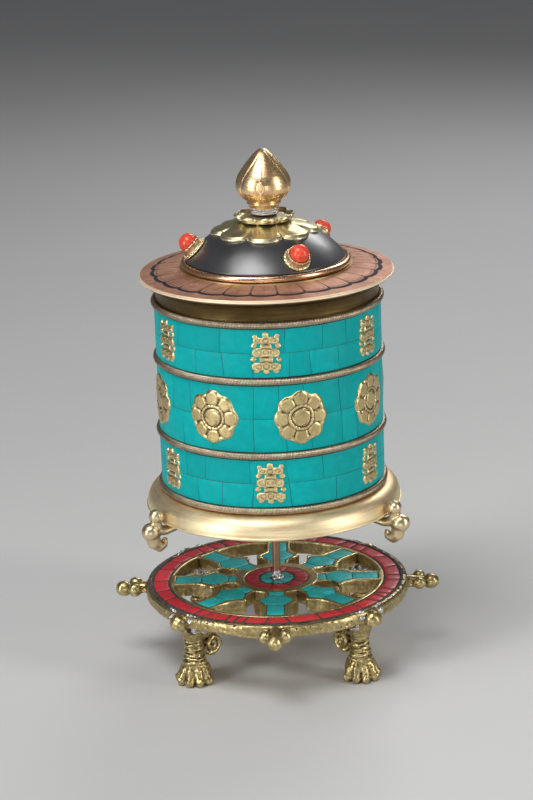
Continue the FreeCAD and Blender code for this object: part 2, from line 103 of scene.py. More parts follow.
class Build:
    """Collects closed shells, with a value or two for each of their vertices, into one mesh."""

    def __init__(self):
        self.vertices = []
        self.faces = []
        self.values = {}
        self.count = 0

    def add(self, vertices, faces, **values):
        """Adds one closed shell, turned inside out if its faces look inwards."""
        vertices = np.asarray(vertices, float).reshape(-1, 3)
        self.vertices.append(vertices)
        order = slice(None, None, 1 if enclosed_volume(vertices, faces) > 0 else -1)
        self.faces += [[int(i) + self.count for i in face][order] for face in faces]
        for name, value in values.items():
            full = np.broadcast_to(np.asarray(value, float), (len(vertices),))
            self.values.setdefault(name, []).append(full)
        self.count += len(vertices)

    def points(self):
        return np.concatenate(self.vertices)

    def take(self, other, degrees):
        """Adds the shells of another build, turned about the axis."""
        self.add(spun(other.points(), degrees), other.faces)

    def object(self, name):
        mesh = bpy.data.meshes.new(name)
        mesh.from_pydata(((self.points() - DATUM) * MM).tolist(), [], self.faces)
        mesh.polygons.foreach_set("use_smooth", [True] * len(mesh.polygons))
        for key, parts in self.values.items():
            attribute = mesh.attributes.new(key, "FLOAT", "POINT")
            attribute.data.foreach_set("value", np.concatenate(parts).astype(np.float32))
        mesh.update()
        obj = bpy.data.objects.new(name, mesh)
        bpy.context.scene.collection.objects.link(obj)
        return obj


def coordinates(obj):
    co = np.empty(len(obj.data.vertices) * 3)
    obj.data.vertices.foreach_get("co", co)
    return co.reshape(-1, 3) / MM + DATUM


def set_coordinates(obj, co):
    obj.data.vertices.foreach_set("co", ((co - DATUM) * MM).ravel())
    obj.data.update()


def normals(obj):
    n = np.empty(len(obj.data.vertices) * 3)
    obj.data.vertices.foreach_get("normal", n)
    return n.reshape(-1, 3)


def set_value(obj, name, values):
    attribute = obj.data.attributes.get(name) or obj.data.attributes.new(name, "FLOAT", "POINT")
    attribute.data.foreach_set("value", np.asarray(values, np.float32))


def values_of(obj, name):
    values = np.empty(len(obj.data.vertices), np.float32)
    obj.data.attributes[name].data.foreach_get("value", values)
    return values


def clip_heights(obj, bottom, top):
    co = coordinates(obj)
    co[:, 2] = np.clip(co[:, 2], bottom, top)
    set_coordinates(obj, co)


def reach(co):
    """Distance from the axis."""
    return np.hypot(co[:, 0], co[:, 1])


def circle(count):
    return np.arange(count) * TAU / count


def polar(r, a, z):
    """Points at radii r, angles a and heights z, which broadcast together."""
    return np.stack(np.broadcast_arrays(r * np.cos(a), r * np.sin(a), z), -1)


def grid_faces(rows, columns, wrap_rows=False, wrap_columns=False):
    r, c = np.meshgrid(np.arange(rows if wrap_rows else rows - 1),
                       np.arange(columns if wrap_columns else columns - 1), indexing="ij")
    r2, c2 = (r + 1) % rows, (c + 1) % columns
    corners = [r * columns + c, r * columns + c2, r2 * columns + c2, r2 * columns + c]
    return np.stack(corners, -1).reshape(-1, 4)


def capped_faces(rows, columns):
    """Faces of a stack of rings, closed by a face at each end."""
    faces = grid_faces(rows, columns, False, True).tolist()
    return faces + [list(range(columns))[::-1], list(range((rows - 1) * columns, rows * columns))]


def turned(build, profile, segments=256, wobble=None, **values):
    """Closed solid of revolution from a closed (radius, height) outline."""
    profile = np.asarray(profile, float)
    r, a = np.meshgrid(profile[:, 0], circle(segments), indexing="ij")
    z = np.repeat(profile[:, 1:2], segments, 1)
    if wobble is not None:
        r, z = wobble(r, z, a)
    build.add(polar(r, a, z), grid_faces(len(profile), segments, True, True), **values)


def slab(build, top, bottom, wrap_columns=False, **values):
    """Closed shell between two grids of the same shape, (rows, columns, 3)."""
    rows, columns = top.shape[:2]
    size = rows * columns
    faces = grid_faces(rows, columns, False, wrap_columns).tolist()
    faces += [[i + size for i in reversed(face)] for face in faces]
    index = np.arange(size).reshape(rows, columns)
    if wrap_columns:
        index = np.hstack([index, index[:, :1]])
    edges = [index[0], index[-1, ::-1]]
    if not wrap_columns:
        edges += [index[::-1, 0], index[:, -1]]
    for edge in edges:
        faces += [[j, i, i + size, j + size] for i, j in zip(edge[:-1], edge[1:])]
    points = np.concatenate([top.reshape(-1, 3), bottom.reshape(-1, 3)])
    build.add(points, faces, **{name: np.tile(value.ravel(), 2) for name, value in values.items()})


def blob(build, centre, radii, rows=14, columns=20):
    """Closed ellipsoid."""
    v = np.linspace(0, math.pi, rows + 2)[1:-1, None]
    points = polar(np.sin(v), circle(columns), np.cos(v)).reshape(-1, 3)
    points = np.concatenate([points, [[0, 0, 1]], [[0, 0, -1]]]) * np.broadcast_to(radii, (3,))
    faces = [face[::-1] for face in grid_faces(rows, columns, False, True).tolist()]
    north = rows * columns
    for k in range(columns):
        k2 = (k + 1) % columns
        faces += [[north, k, k2], [north + 1, north - columns + k2, north - columns + k]]
    build.add(points + np.asarray(centre, float), faces)


def small_blob(build, centre, radii):
    blob(build, centre, radii, rows=8, columns=12)


def limb(build, points, radii):
    """Tapered rounded tube: a closed chain of balls along a line, to be fused later."""
    points = np.asarray(points, float)
    for p, q, rp, rq in zip(points[:-1], points[1:], radii[:-1], radii[1:]):
        steps = max(1, math.ceil(np.linalg.norm(q - p) / (LIMB_SPACING * min(rp, rq))))
        for k in range(steps + 1):
            small_blob(build, p + (q - p) * k / steps, rp + (rq - rp) * k / steps)


def tube(build, path, radius, sides=8):
    """Round wire along a closed path."""
    ahead = np.roll(path, -1, 0) - np.roll(path, 1, 0)
    ahead /= np.linalg.norm(ahead, axis=1)[:, None]
    side = np.cross(ahead, [0.0, 0.0, 1.0])
    side /= np.linalg.norm(side, axis=1)[:, None]
    up = np.cross(side, ahead)
    a = circle(sides)[None, :, None]
    ring = np.cos(a) * side[:, None] + np.sin(a) * up[:, None]
    points = path[:, None] + ring * np.broadcast_to(radius, (len(path),))[:, None, None]
    build.add(points, grid_faces(len(path), sides, True, True))


def smoothed(obj, rounds):
    """The object's points after rounds of moving each halfway to the mean of its neighbours."""
    co = coordinates(obj)
    edges = np.empty(len(obj.data.edges) * 2, int)
    obj.data.edges.foreach_get("vertices", edges)
    a, b = edges.reshape(-1, 2).T
    degree = np.bincount(a, minlength=len(co)) + np.bincount(b, minlength=len(co))
    for _ in range(rounds):
        total = np.empty_like(co)
        for axis in range(3):
            total[:, axis] = np.bincount(a, co[b, axis], len(co)) + np.bincount(b, co[a, axis], len(co))
        co = co + 0.5 * (total / np.maximum(degree, 1)[:, None] - co)
    return co


def fuse(build, name, voxel, rounds=2):
    """One smooth casting from overlapping closed shells."""
    obj = build.object(name)
    remesh = obj.modifiers.new("fuse", "REMESH")
    remesh.mode = "VOXEL"
    remesh.voxel_size = voxel * MM
    remesh.use_smooth_shade = True
    graph = bpy.context.evaluated_depsgraph_get()
    mesh = bpy.data.meshes.new_from_object(obj.evaluated_get(graph))
    obj.modifiers.clear()
    obj.data = mesh
    set_coordinates(obj, smoothed(obj, rounds))
    return obj


def field(points, size, seed, waves=28):
    """Smooth random field of about -1 to 1, with bumps of the given size."""
    source = np.random.default_rng(seed)
    direction = source.normal(size=(waves, 3))
    direction /= np.linalg.norm(direction, axis=1)[:, None]
    pace = TAU / size * source.uniform(0.5, 1.4, waves)
    phase = source.uniform(0, TAU, waves)
    return sum(np.sin(points @ d * k + p) for d, k, p in zip(direction, pace, phase)) / math.sqrt(waves)


def roughen(obj, size, depth, seed, where=None):
    co = coordinates(obj)
    push = field(co, size, seed) * depth
    if where is not None:
        push = push * where(co)
    set_coordinates(obj, co + normals(obj) * push[:, None])


def darken(obj, amount):
    set_value(obj, "cavity_and_shade", values_of(obj, "cavity_and_shade") - amount)


def mark_cavities(obj, rounds=8, scale=0.12):
    """Store how far each point stands above (+) or lies below (-) its surroundings."""
    co = coordinates(obj)
    raised = np.einsum("ij,ij->i", co - smoothed(obj, rounds), normals(obj)) / scale
    set_value(obj, "cavity_and_shade", np.clip(raised, -1.5, 1.5))


def spun(points, degrees):
    a = math.radians(degrees)
    turn = np.array([[math.cos(a), -math.sin(a), 0], [math.sin(a), math.cos(a), 0], [0, 0, 1]])
    return np.asarray(points) @ turn.T


def smoothstep(x, start, end):
    t = np.clip((np.asarray(x) - start) / (end - start), 0, 1)
    return t * t * (3 - 2 * t)


def arc_points(centre, radius, start, end, count):
    a = np.radians(np.linspace(start, end, count))
    return [(centre[0] + radius * math.cos(t), centre[1] + radius * math.sin(t)) for t in a]


# ================================================================ chips of stone
def soft_field(points, size, seed):
    return np.clip(field(points, size, seed), -1, 1)


def inset(outline, amount):
    """Outline (counter-clockwise) moved inwards."""
    p = np.asarray(outline, float)
    inwards = []
    for edge in (p - np.roll(p, 1, 0), np.roll(p, -1, 0) - p):
        length = np.maximum(np.linalg.norm(edge, axis=1), 1e-9)
        inwards.append(np.stack([-edge[:, 1], edge[:, 0]], 1) / length[:, None])
    middle = inwards[0] + inwards[1]
    middle /= np.maximum((middle * inwards[0]).sum(1), 0.35)[:, None]
    return p + middle * amount


def chip(build, outline, height, bevel, place, source, unevenness=0.1):
    """A cut stone chip: sides, a bevel and a slightly tilted, crowned top. place maps (u, v, height)."""
    p = np.asarray(outline, float)
    centre = p.mean(0)
    span = max(np.ptp(p[:, 0]), np.ptp(p[:, 1]))
    tone = source.uniform(-1, 1)
    tilt = source.uniform(-1, 1, 2) * unevenness / span
    lift = source.uniform(-0.4, 0.4) * unevenness
    top = inset(p, bevel)
    points = []
    for q, h in ((p, 0.0), (p, height - bevel), (inset(p, bevel * 0.35), height - bevel * 0.3), (top, height),
                 (centre + (top - centre) * 0.5, height + 0.02)):
        h = h + (lift + (q - centre) @ tilt) * (h > 0)
        points.append(np.column_stack([q, np.broadcast_to(h, (len(q),))]))
    n = len(p)
    faces = grid_faces(5, n, False, True).tolist()
    points.append([[centre[0], centre[1], height + 0.025 + lift]])
    faces += [[4 * n + k, 4 * n + (k + 1) % n, 5 * n] for k in range(n)]
    faces.append(list(range(n))[::-1])
    build.add(place(np.concatenate(points)), faces, tone=tone)


def flat_place(bed, degrees=0.0):
    def place(p):
        return spun(p + [0, 0, bed], degrees)
    return place


def uneven_stops(count, unevenness, source):
    weights = 1 + unevenness * source.uniform(-1, 1, count)
    return np.concatenate([[0], np.cumsum(weights)]) / weights.sum()


def ring_chips(build, count, inner, outer, joint, unevenness, slant, height, source):
    """A ring of hand-cut chips with uneven lengths and slanting joints."""
    stops = uneven_stops(count, unevenness, source) * TAU
    slants = source.uniform(-slant, slant, count)
    slants = np.append(slants, slants[0])
    for k in range(count):
        start, end = stops[k], stops[k + 1]
        half = joint * source.uniform(0.7, 1.5) / 2
        s_in, s_out = start + half / inner + slants[k], start + half / outer - slants[k]
        e_in, e_out = end - half / inner + slants[k + 1], end - half / outer - slants[k + 1]
        steps = max(2, int((end - start) * outer / CHIP_STEP)) + 1
        r_out = outer - joint * source.uniform(0.3, 1.0)
        r_in = inner + joint * source.uniform(0.3, 1.0)
        a = np.concatenate([np.linspace(s_out, e_out, steps), np.linspace(e_in, s_in, steps)])
        outline = polar(np.repeat([r_out, r_in], steps), a, 0)[:, :2]
        chip(build, outline, height, CHIP_BEVEL, flat_place(POCKET_FLOOR), source)


# ================================================================ materials
class Paint:
    """A procedural node material, built up node by node. Coordinates are the object's own, in metres."""

    def __init__(self, name):
        self.material = bpy.data.materials.new(name)
        self.material.use_nodes = True
        self.tree = self.material.node_tree
        self.shader = self.tree.nodes["Principled BSDF"]
        self.place = self.tree.nodes.new("ShaderNodeTexCoord").outputs["Object"]

    def fill(self, socket, value):
        """Links a node's output to a socket, or sets the socket's own value."""
        if isinstance(value, bpy.types.NodeSocket):
            self.tree.links.new(value, socket)
        else:
            socket.default_value = value

    def node(self, kind, inputs=(), **settings):
        made = self.tree.nodes.new(kind)
        for key, value in settings.items():
            setattr(made, key, value)
        for key, value in dict(inputs).items():
            self.fill(made.inputs[key], value)
        return made

    def noise(self, size, detail=4.0, rough=0.55, stretch=(1, 1, 1), warp=0.0):
        """Noise of 0 to 1 with features of the given size in millimetres."""
        vector = self.node("ShaderNodeMapping", {"Vector": self.place, "Scale": stretch}).outputs["Vector"]
        inputs = {"Vector": vector, "Scale": 1 / (size * MM), "Detail": detail, "Roughness": rough,
                  "Distortion": warp}
        return self.node("ShaderNodeTexNoise", inputs).outputs["Fac"]

    def cells(self, size):
        inputs = {"Vector": self.place, "Scale": 1 / (size * MM)}
        return self.node("ShaderNodeTexVoronoi", inputs, feature="F1").outputs["Distance"]

    def value(self, name):
        """A value stored on the mesh; 0 where the mesh has none."""
        return self.node("ShaderNodeAttribute", attribute_name=name).outputs["Fac"]

    def math(self, operation, a, b=0.0):
        return self.node("ShaderNodeMath", {0: a, 1: b}, operation=operation).outputs[0]

    def span(self, value, start, end, low_to=0.0, high_to=1.0):
        inputs = {"Value": value, "From Min": start, "From Max": end, "To Min": low_to, "To Max": high_to}
        return self.node("ShaderNodeMapRange", inputs).outputs["Result"]

    def mix(self, amount, a, b):
        made = self.node("ShaderNodeMix", data_type="RGBA")
        for index, value in ((0, amount), (6, a), (7, b)):
            self.fill(made.inputs[index], (*value, 1.0) if isinstance(value, tuple) else value)
        return made.outputs[2]

    def bump(self, height, depth, before=None):
        """Bump of the given depth in millimetres for a height of 0 to 1."""
        inputs = {"Height": height, "Distance": depth * MM, "Strength": 1.0}
        if before is not None:
            inputs["Normal"] = before
        return self.node("ShaderNodeBump", inputs).outputs["Normal"]

    def finish(self, colour, roughness, normal, metallic=0.0, **constants):
        self.fill(self.shader.inputs["Base Color"], colour)
        self.fill(self.shader.inputs["Roughness"], roughness)
        self.fill(self.shader.inputs["Normal"], normal)
        self.fill(self.shader.inputs["Metallic"], metallic)
        for key, value in constants.items():
            self.shader.inputs[key.replace("_", " ")].default_value = value
        return self.material


def metal(name, body, bright, dark, rough=0.3, patina=0.5, pits=0.02, mottling=0.5, streaks=None):
    """Worn metal: mottled body, bright rubbed rises, dark patina in the hollows, fine pits; where the stored
    value holds painted highlight and painted shade, these lighten and darken the colour too.
    """
    p = Paint(name)
    cloud = p.noise(9, 5, 0.6, warp=0.4)
    fine = p.noise(0.6, 4, 0.6)
    raised = p.value("cavity_and_shade")
    tone = p.mix(p.span(cloud, 0.28, 0.72, 0.0, mottling), body, bright)
    rub_and_highlight = p.span(p.math("ADD", raised, p.math("MULTIPLY", fine, 0.4)), 0.25, 0.95)
    tone = p.mix(p.math("MULTIPLY", rub_and_highlight, 0.75), tone, bright)
    hollow = p.math("SUBTRACT", p.math("MULTIPLY", raised, -1.0), p.math("MULTIPLY", fine, 0.35))
    stain = p.span(p.noise(3.2, 6, 0.65, warp=1.2), 0.62 - 0.22 * patina, 0.86, 0.0, patina)
    grime_and_shade = p.math("MAXIMUM", p.span(hollow, 0.02, 0.6, 0.0, min(1.0, patina * 1.6)), stain)
    tone = p.mix(grime_and_shade, tone, dark)
    roughness = p.span(fine, 0.3, 0.7, rough * 0.8, rough * 1.25)
    roughness = p.math("ADD", roughness, p.math("MULTIPLY", grime_and_shade, 0.3))
    if streaks:
        lines = p.noise(streaks[0], 3, 0.6, stretch=streaks[1])
        tone = p.mix(p.span(lines, 0.45, 0.7, 0.0, 0.45), tone, dark)
        normal = p.bump(lines, 0.02)
    else:
        normal = p.bump(cloud, 0.06)
    return p.finish(tone, roughness, p.bump(fine, pits, normal), p.span(grime_and_shade, 0.0, 1.0, 1.0, 0.55))


def stone(name, body, light, dark, size, rough=0.35, shine=0.5):
    """Polished stone composite: tone per chip, cloudy grain, small dark specks."""
    p = Paint(name)
    cloud = p.noise(size, 6, 0.6, warp=0.6)
    fine = p.noise(size / 6, 3, 0.6)
    tone = p.mix(p.span(cloud, 0.35, 0.68), body, light)
    tone = p.mix(p.span(p.value("tone"), -1.0, 1.0, 0.0, 0.45), tone, dark)
    tone = p.mix(p.span(p.cells(size / 4), 0.1, 0.02, 0.0, 0.5), tone, dark)
    roughness = p.span(fine, 0.3, 0.7, rough * 0.75, rough * 1.3)
    normal = p.bump(fine, 0.012, p.bump(cloud, 0.03))
    return p.finish(tone, roughness, normal, 0.0, Specular_IOR_Level=shine)


CAST_BRASS = metal("worn cast brass", (0.37, 0.27, 0.105), (0.86, 0.71, 0.36), (0.030, 0.024, 0.018),
                   rough=0.29, patina=0.85, pits=0.03)
KNOB_BRASS = metal("polished cast brass", (0.66, 0.53, 0.31), (0.93, 0.80, 0.55), (0.16, 0.12, 0.07),
                   rough=0.34, patina=0.3, pits=0.015)
SKIRT_BRASS = metal("spun brass", (0.93, 0.67, 0.40), (1.0, 0.90, 0.58), (0.62, 0.36, 0.22),
                    rough=0.46, patina=0.12, pits=0.010, mottling=0.9, streaks=(1.6, (0.12, 0.12, 2.6)))
RELIEF_BRASS = metal("relief brass", (0.52, 0.38, 0.16), (0.95, 0.79, 0.42), (0.04, 0.028, 0.018),
                     rough=0.30, patina=0.65, pits=0.02)
LOTUS_BRASS = metal("olive brass", (0.50, 0.42, 0.21), (0.97, 0.88, 0.60), (0.09, 0.065, 0.04),
                    rough=0.34, patina=0.42, pits=0.02)
# Cornice: dark brown bronze, its colour darkened further as painted shade for its place under the plate's
# edge.
SHADED_DARK_BRONZE = metal("shaded dark bronze", (0.095, 0.060, 0.022), (0.25, 0.165, 0.06), (0.024, 0.014, 0.009),
                    rough=0.40, patina=0.5, pits=0.02, streaks=(2.0, (0.1, 0.1, 2.2)))
SHEET_BRASS = metal("sheet brass", (0.52, 0.38, 0.17), (0.80, 0.64, 0.34), (0.12, 0.08, 0.04),
                    rough=0.38, patina=0.3, pits=0.01)
WIRE_COPPER = metal("copper wire", (0.70, 0.36, 0.20), (0.97, 0.66, 0.44), (0.14, 0.06, 0.03),
                    rough=0.24, patina=0.25, pits=0.01)
JEWEL_COPPER = metal("polished copper", (0.86, 0.50, 0.22), (1.0, 0.80, 0.50), (0.34, 0.15, 0.06),
                     rough=0.30, patina=0.16, pits=0.01, mottling=0.8)
ROPE_BRONZE = metal("twisted bronze wire", (0.24, 0.175, 0.11), (0.72, 0.59, 0.43), (0.022, 0.016, 0.012),
                    rough=0.30, patina=0.7, pits=0.01)
GOLD_CUP = metal("pale gold", (0.72, 0.52, 0.27), (0.98, 0.84, 0.55), (0.14, 0.08, 0.04),
                 rough=0.26, patina=0.3, pits=0.01)
SILVER = metal("grey silver", (0.36, 0.34, 0.33), (0.82, 0.80, 0.78), (0.05, 0.045, 0.045),
               rough=0.3, patina=0.5, pits=0.01)
SOLDER = metal("solder", (0.38, 0.38, 0.39), (0.92, 0.92, 0.92), (0.07, 0.07, 0.075),
               rough=0.33, patina=0.45, pits=0.03)
STEEL = metal("steel", (0.42, 0.36, 0.31), (0.72, 0.66, 0.60), (0.12, 0.07, 0.045),
              rough=0.32, patina=0.4, pits=0.01)
SPINDLE_COPPER = metal("coppered spindle", (0.44, 0.25, 0.15), (0.72, 0.46, 0.32), (0.10, 0.05, 0.03),
                       rough=0.33, patina=0.4, pits=0.01)
RIM_CORAL = stone("red coral chips", (0.66, 0.018, 0.035), (0.80, 0.05, 0.06), (0.36, 0.006, 0.018), 3.2,
                  rough=0.33)
HUB_CORAL = stone("dark red coral chips", (0.52, 0.015, 0.032), (0.62, 0.03, 0.05), (0.28, 0.006, 0.015),
                  3.0, rough=0.38)
BASE_TURQUOISE = stone("pale turquoise chips", (0.010, 0.52, 0.55), (0.04, 0.70, 0.72),
                       (0.006, 0.38, 0.42), 3.4, rough=0.42, shine=0.3)
BAND_TURQUOISE = stone("deep turquoise chips", (0.0005, 0.38, 0.385), (0.001, 0.46, 0.465),
                       (0.0005, 0.29, 0.30), 3.6, rough=0.48, shine=0.14)
STONE_CORAL = stone("coral stones", (0.78, 0.055, 0.025), (0.92, 0.16, 0.07), (0.50, 0.02, 0.012), 2.4,
                    rough=0.22)


def etched_material():
    """Pinkish copper with blue-black colour left in the chased lines and a pale rubbed edge."""
    p = Paint("etched copper")
    cloud = p.noise(11, 5, 0.6, warp=0.5)
    fine = p.noise(0.6, 4, 0.6)
    scratches = p.noise(2.0, 4, 0.7, stretch=(1, 1, 0.2))
    tone = p.mix(p.span(cloud, 0.3, 0.7), (0.44, 0.215, 0.135), (0.66, 0.36, 0.245))
    tone = p.mix(p.span(scratches, 0.56, 0.72, 0.0, 0.35), tone, (0.74, 0.47, 0.34))
    tone = p.mix(p.span(p.noise(4, 5, 0.7), 0.48, 0.74, 0.0, 0.6), tone, (0.17, 0.075, 0.05))
    tone = p.mix(p.span(p.value("rubbed"), 0.2, 0.8), tone, (0.94, 0.78, 0.58))
    ink = p.math("SUBTRACT", p.value("ink"), p.math("MULTIPLY", fine, 0.25))
    ink = p.span(ink, 0.12, 0.6)
    tone = p.mix(ink, tone, (0.018, 0.014, 0.022))
    roughness = p.math("ADD", p.span(fine, 0.3, 0.7, 0.48, 0.62), p.math("MULTIPLY", ink, 0.2))
    normal = p.bump(fine, 0.02, p.bump(cloud, 0.08))
    return p.finish(tone, roughness, normal, p.span(ink, 0.0, 1.0, 0.68, 0.2))


def cement_material():
    p = Paint("dark cement")
    grit = p.noise(0.7, 6, 0.7)
    cloud = p.noise(4, 3, 0.5)
    tone = p.mix(grit, (0.018, 0.018, 0.02), (0.10, 0.09, 0.085))
    tone = p.mix(p.span(cloud, 0.5, 0.75, 0.0, 0.5), tone, (0.16, 0.14, 0.12))
    normal = p.bump(grit, 0.08)
    return p.finish(tone, p.span(grit, 0.2, 0.8, 0.65, 0.95), normal)


def lacquer_material():
    p = Paint("black lacquer")
    cloud = p.noise(14, 4, 0.5)
    dust = p.noise(0.5, 5, 0.7)
    tone = p.mix(p.span(cloud, 0.35, 0.7), (0.012, 0.012, 0.014), (0.026, 0.025, 0.029))
    tone = p.mix(p.span(dust, 0.66, 0.8, 0.0, 0.35), tone, (0.10, 0.095, 0.09))
    roughness = p.span(cloud, 0.3, 0.7, 0.30, 0.40)
    normal = p.bump(dust, 0.006, p.bump(cloud, 0.10))
    return p.finish(tone, roughness, normal, 0.0, Coat_Weight=1.0, Coat_Roughness=0.34,
                    Specular_IOR_Level=1.0)


def paper_material():
    p = Paint("rolled paper")
    fibre = p.noise(0.6, 5, 0.6, stretch=(1, 1, 0.15))
    cloud = p.noise(12, 3, 0.5)
    tone = p.mix(fibre, (0.52, 0.42, 0.27), (0.72, 0.62, 0.44))
    tone = p.mix(p.span(cloud, 0.5, 0.75, 0.0, 0.4), tone, (0.40, 0.29, 0.16))
    return p.finish(tone, p.span(fibre, 0.2, 0.8, 0.75, 0.95), p.bump(fibre, 0.05))


def floor_material():
    p = Paint("pale studio floor")
    cloud = p.noise(180, 4, 0.5)
    fine = p.noise(3, 4, 0.6)
    tone = p.mix(cloud, (0.60, 0.60, 0.60), (0.66, 0.655, 0.65))
    return p.finish(tone, p.span(fine, 0.2, 0.8, 0.45, 0.6), p.bump(fine, 0.03))


CEMENT = cement_material()
PLATE_COPPER = etched_material()
LACQUER = lacquer_material()
PAPER = paper_material()
FLOOR = floor_material()


def dress(obj, material, body, slot, *replaced):
    """Give a piece its material and the body it moves with, and hide the nodes it stands for. The slot is not
    used.
    """
    obj.data.materials.clear()
    obj.data.materials.append(material)
    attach(obj, body)
    if replaced:
        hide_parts(*replaced)
    return obj


def dress_node(name, material):
    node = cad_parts[name]
    node.data.materials.clear()
    node.data.materials.append(material)


# ================================================================ base wheel
def tray(build, outline, pocket, bottom, floor, top):
    """Upright prism with a pocket sunk in its top. Both outlines have the same number of points."""
    rings = [(pocket, floor), (pocket, top), (outline, top), (outline, bottom)]
    points = [(x, y, z) for ring, z in rings for x, y in ring]
    build.add(points, capped_faces(4, len(outline)))


def both_sides(half):
    """Counter-clockwise outline, symmetric about X, from its +Y half listed outwards."""
    return [(x, -y) for x, y in half] + [(x, y) for x, y in half[::-1]]


SPOKE_BODY = [(12.9, 4.0), (18.5, 4.3), (21.4, 4.8), (23.2, 5.9), (24.5, 7.9), (25.4, 8.9), (26.6, 8.4),
              (28.4, 6.7), (31.0, 5.4), (34.0, 4.8), (38.0, 4.7), (42.5, 4.7)]
SPOKE_POCKET = [(13.7, 3.0), (18.6, 3.25), (19.6, 3.3), (21.4, 4.5), (23.2, 5.7), (25.1, 7.0), (26.6, 5.9),
                (28.4, 4.5), (29.6, 3.6), (34.0, 3.6), (38.0, 3.6), (40.6, 3.6)]
POCKET_FLOOR = WHEEL_TOP - 1.0
CHIP_HEIGHT = WHEEL_TOP - POCKET_FLOOR - 0.06
KNOB_HEIGHT = 31.0


def rim_profile():
    """(radius, height) outline of the rim, clockwise, with a worn outer corner and the coral channel."""
    return [
        (RIM_INNER, WHEEL_BOTTOM + 0.4), (RIM_INNER, WHEEL_TOP - 0.1), (RIM_INNER + 0.1, WHEEL_TOP),
        (CORAL_INNER, WHEEL_TOP), (CORAL_INNER, POCKET_FLOOR), (CORAL_OUTER, POCKET_FLOOR),
        (CORAL_OUTER, WHEEL_TOP), (RIM_RADIUS - 1.4, WHEEL_TOP), (RIM_RADIUS - 0.7, WHEEL_TOP - 0.35),
        (RIM_RADIUS - 0.15, WHEEL_TOP - 1.0), (RIM_RADIUS, WHEEL_TOP - 2.0),
        (RIM_RADIUS, WHEEL_BOTTOM + 1.0), (RIM_RADIUS - 0.3, WHEEL_BOTTOM + 0.3),
        (RIM_RADIUS - 0.9, WHEEL_BOTTOM), (RIM_INNER + 0.4, WHEEL_BOTTOM),
    ]


def base_wheel():
    b = Build()
    turned(b, rim_profile()[::-1], 240)
    turned(b, [(1.7, WHEEL_BOTTOM), (16.4, WHEEL_BOTTOM), (16.8, WHEEL_BOTTOM + 0.4), (16.8, WHEEL_TOP - 0.2),
               (16.6, WHEEL_TOP), (HUB_INLAY, WHEEL_TOP), (HUB_INLAY, POCKET_FLOOR), (1.7, POCKET_FLOOR)],
           120)
    spoke = Build()
    tray(spoke, both_sides(SPOKE_BODY), both_sides(SPOKE_POCKET), WHEEL_BOTTOM, POCKET_FLOOR, WHEEL_TOP)
    for k in range(8):
        b.take(spoke, 45 * k)
    cluster = Build()
    limb(cluster, [(50.5, 0, KNOB_HEIGHT), (61.0, 0, KNOB_HEIGHT - 0.2)], [2.5, 2.0])
    blob(cluster, (61.6, 0, KNOB_HEIGHT - 0.2), (3.35, 3.2, 3.1))
    for side in (-1, 1):
        blob(cluster, (57.0, side * 3.9, KNOB_HEIGHT + 0.4), (2.7, 2.55, 2.6 + 0.15 * side))
        limb(cluster, [(51.6, side * 3.2, KNOB_HEIGHT), (56.2, side * 3.4, KNOB_HEIGHT)], [1.2, 1.4])
    limb(cluster, [(57, -3.6, KNOB_HEIGHT), (57, 3.6, KNOB_HEIGHT)], [1.5, 1.5])
    knob = Build()
    blob(knob, (53.3, 0, 29.9), (3.5, 3.8, 3.5))
    for k in range(4):
        b.take(cluster, 90 * k)
        b.take(knob, 90 * k + 45)
    wheel = fuse(b, "base_wheel_casting", 0.33)

    def away_from_top(co):
        return 1 - 0.85 * smoothstep(co[:, 2], WHEEL_TOP - 0.9, WHEEL_TOP - 0.1)

    roughen(wheel, 9.0, 0.10, 3, away_from_top)
    roughen(wheel, 2.2, 0.055, 4, away_from_top)
    co = coordinates(wheel)
    radius = reach(co)
    edge = smoothstep(radius, RIM_RADIUS - 3, RIM_RADIUS - 0.5) * (1 - smoothstep(radius, 53.0, 54.0))
    deep = 1 - smoothstep(co[:, 2], WHEEL_BOTTOM, WHEEL_BOTTOM + 2.5)
    co[:, 2] += edge * deep * np.clip(0.3 + 0.35 * field(co * [1, 1, 0], 22, 5), 0.0, 1.0)
    dents = np.clip(field(co, 1.3, 6) - 1.25, 0, 1) * edge
    co -= normals(wheel) * (dents * 0.5)[:, None]
    co[:, 2] = np.clip(co[:, 2], WHEEL_BOTTOM - 0.35, WHEEL_TOP)
    radius = reach(co)
    co[:, :2] *= np.minimum(1, KNOB_TIP / np.maximum(radius, 1e-6))[:, None]
    set_coordinates(wheel, co)
    mark_cavities(wheel)
    land = smoothstep(radius, CORAL_OUTER - 0.4, CORAL_OUTER + 0.2) * (1 - smoothstep(radius, 51.0, 51.9))
    land *= smoothstep(co[:, 2], WHEEL_TOP - 0.8, WHEEL_TOP - 0.3)
    darken(wheel, land * np.clip(0.75 + 0.7 * field(co, 3.5, 17), 0, 1.4))
    dress(wheel, CAST_BRASS, "base", "cast_brass", "base_wheel")


def cement_bed(name, inner, outer, seed, node):
    def top(r, t):
        return WHEEL_TOP - 0.17 + 0.07 * soft_field(polar(r, t, 0), 1.1, seed)

    b = Build()
    rows = max(6, int((outer - inner) / 0.35))
    polar_slab(b, np.linspace(inner, outer, rows), top, lambda r, t: POCKET_FLOOR - 0.05, 420)
    dress(b.object(name), CEMENT, "base", "cement", node)


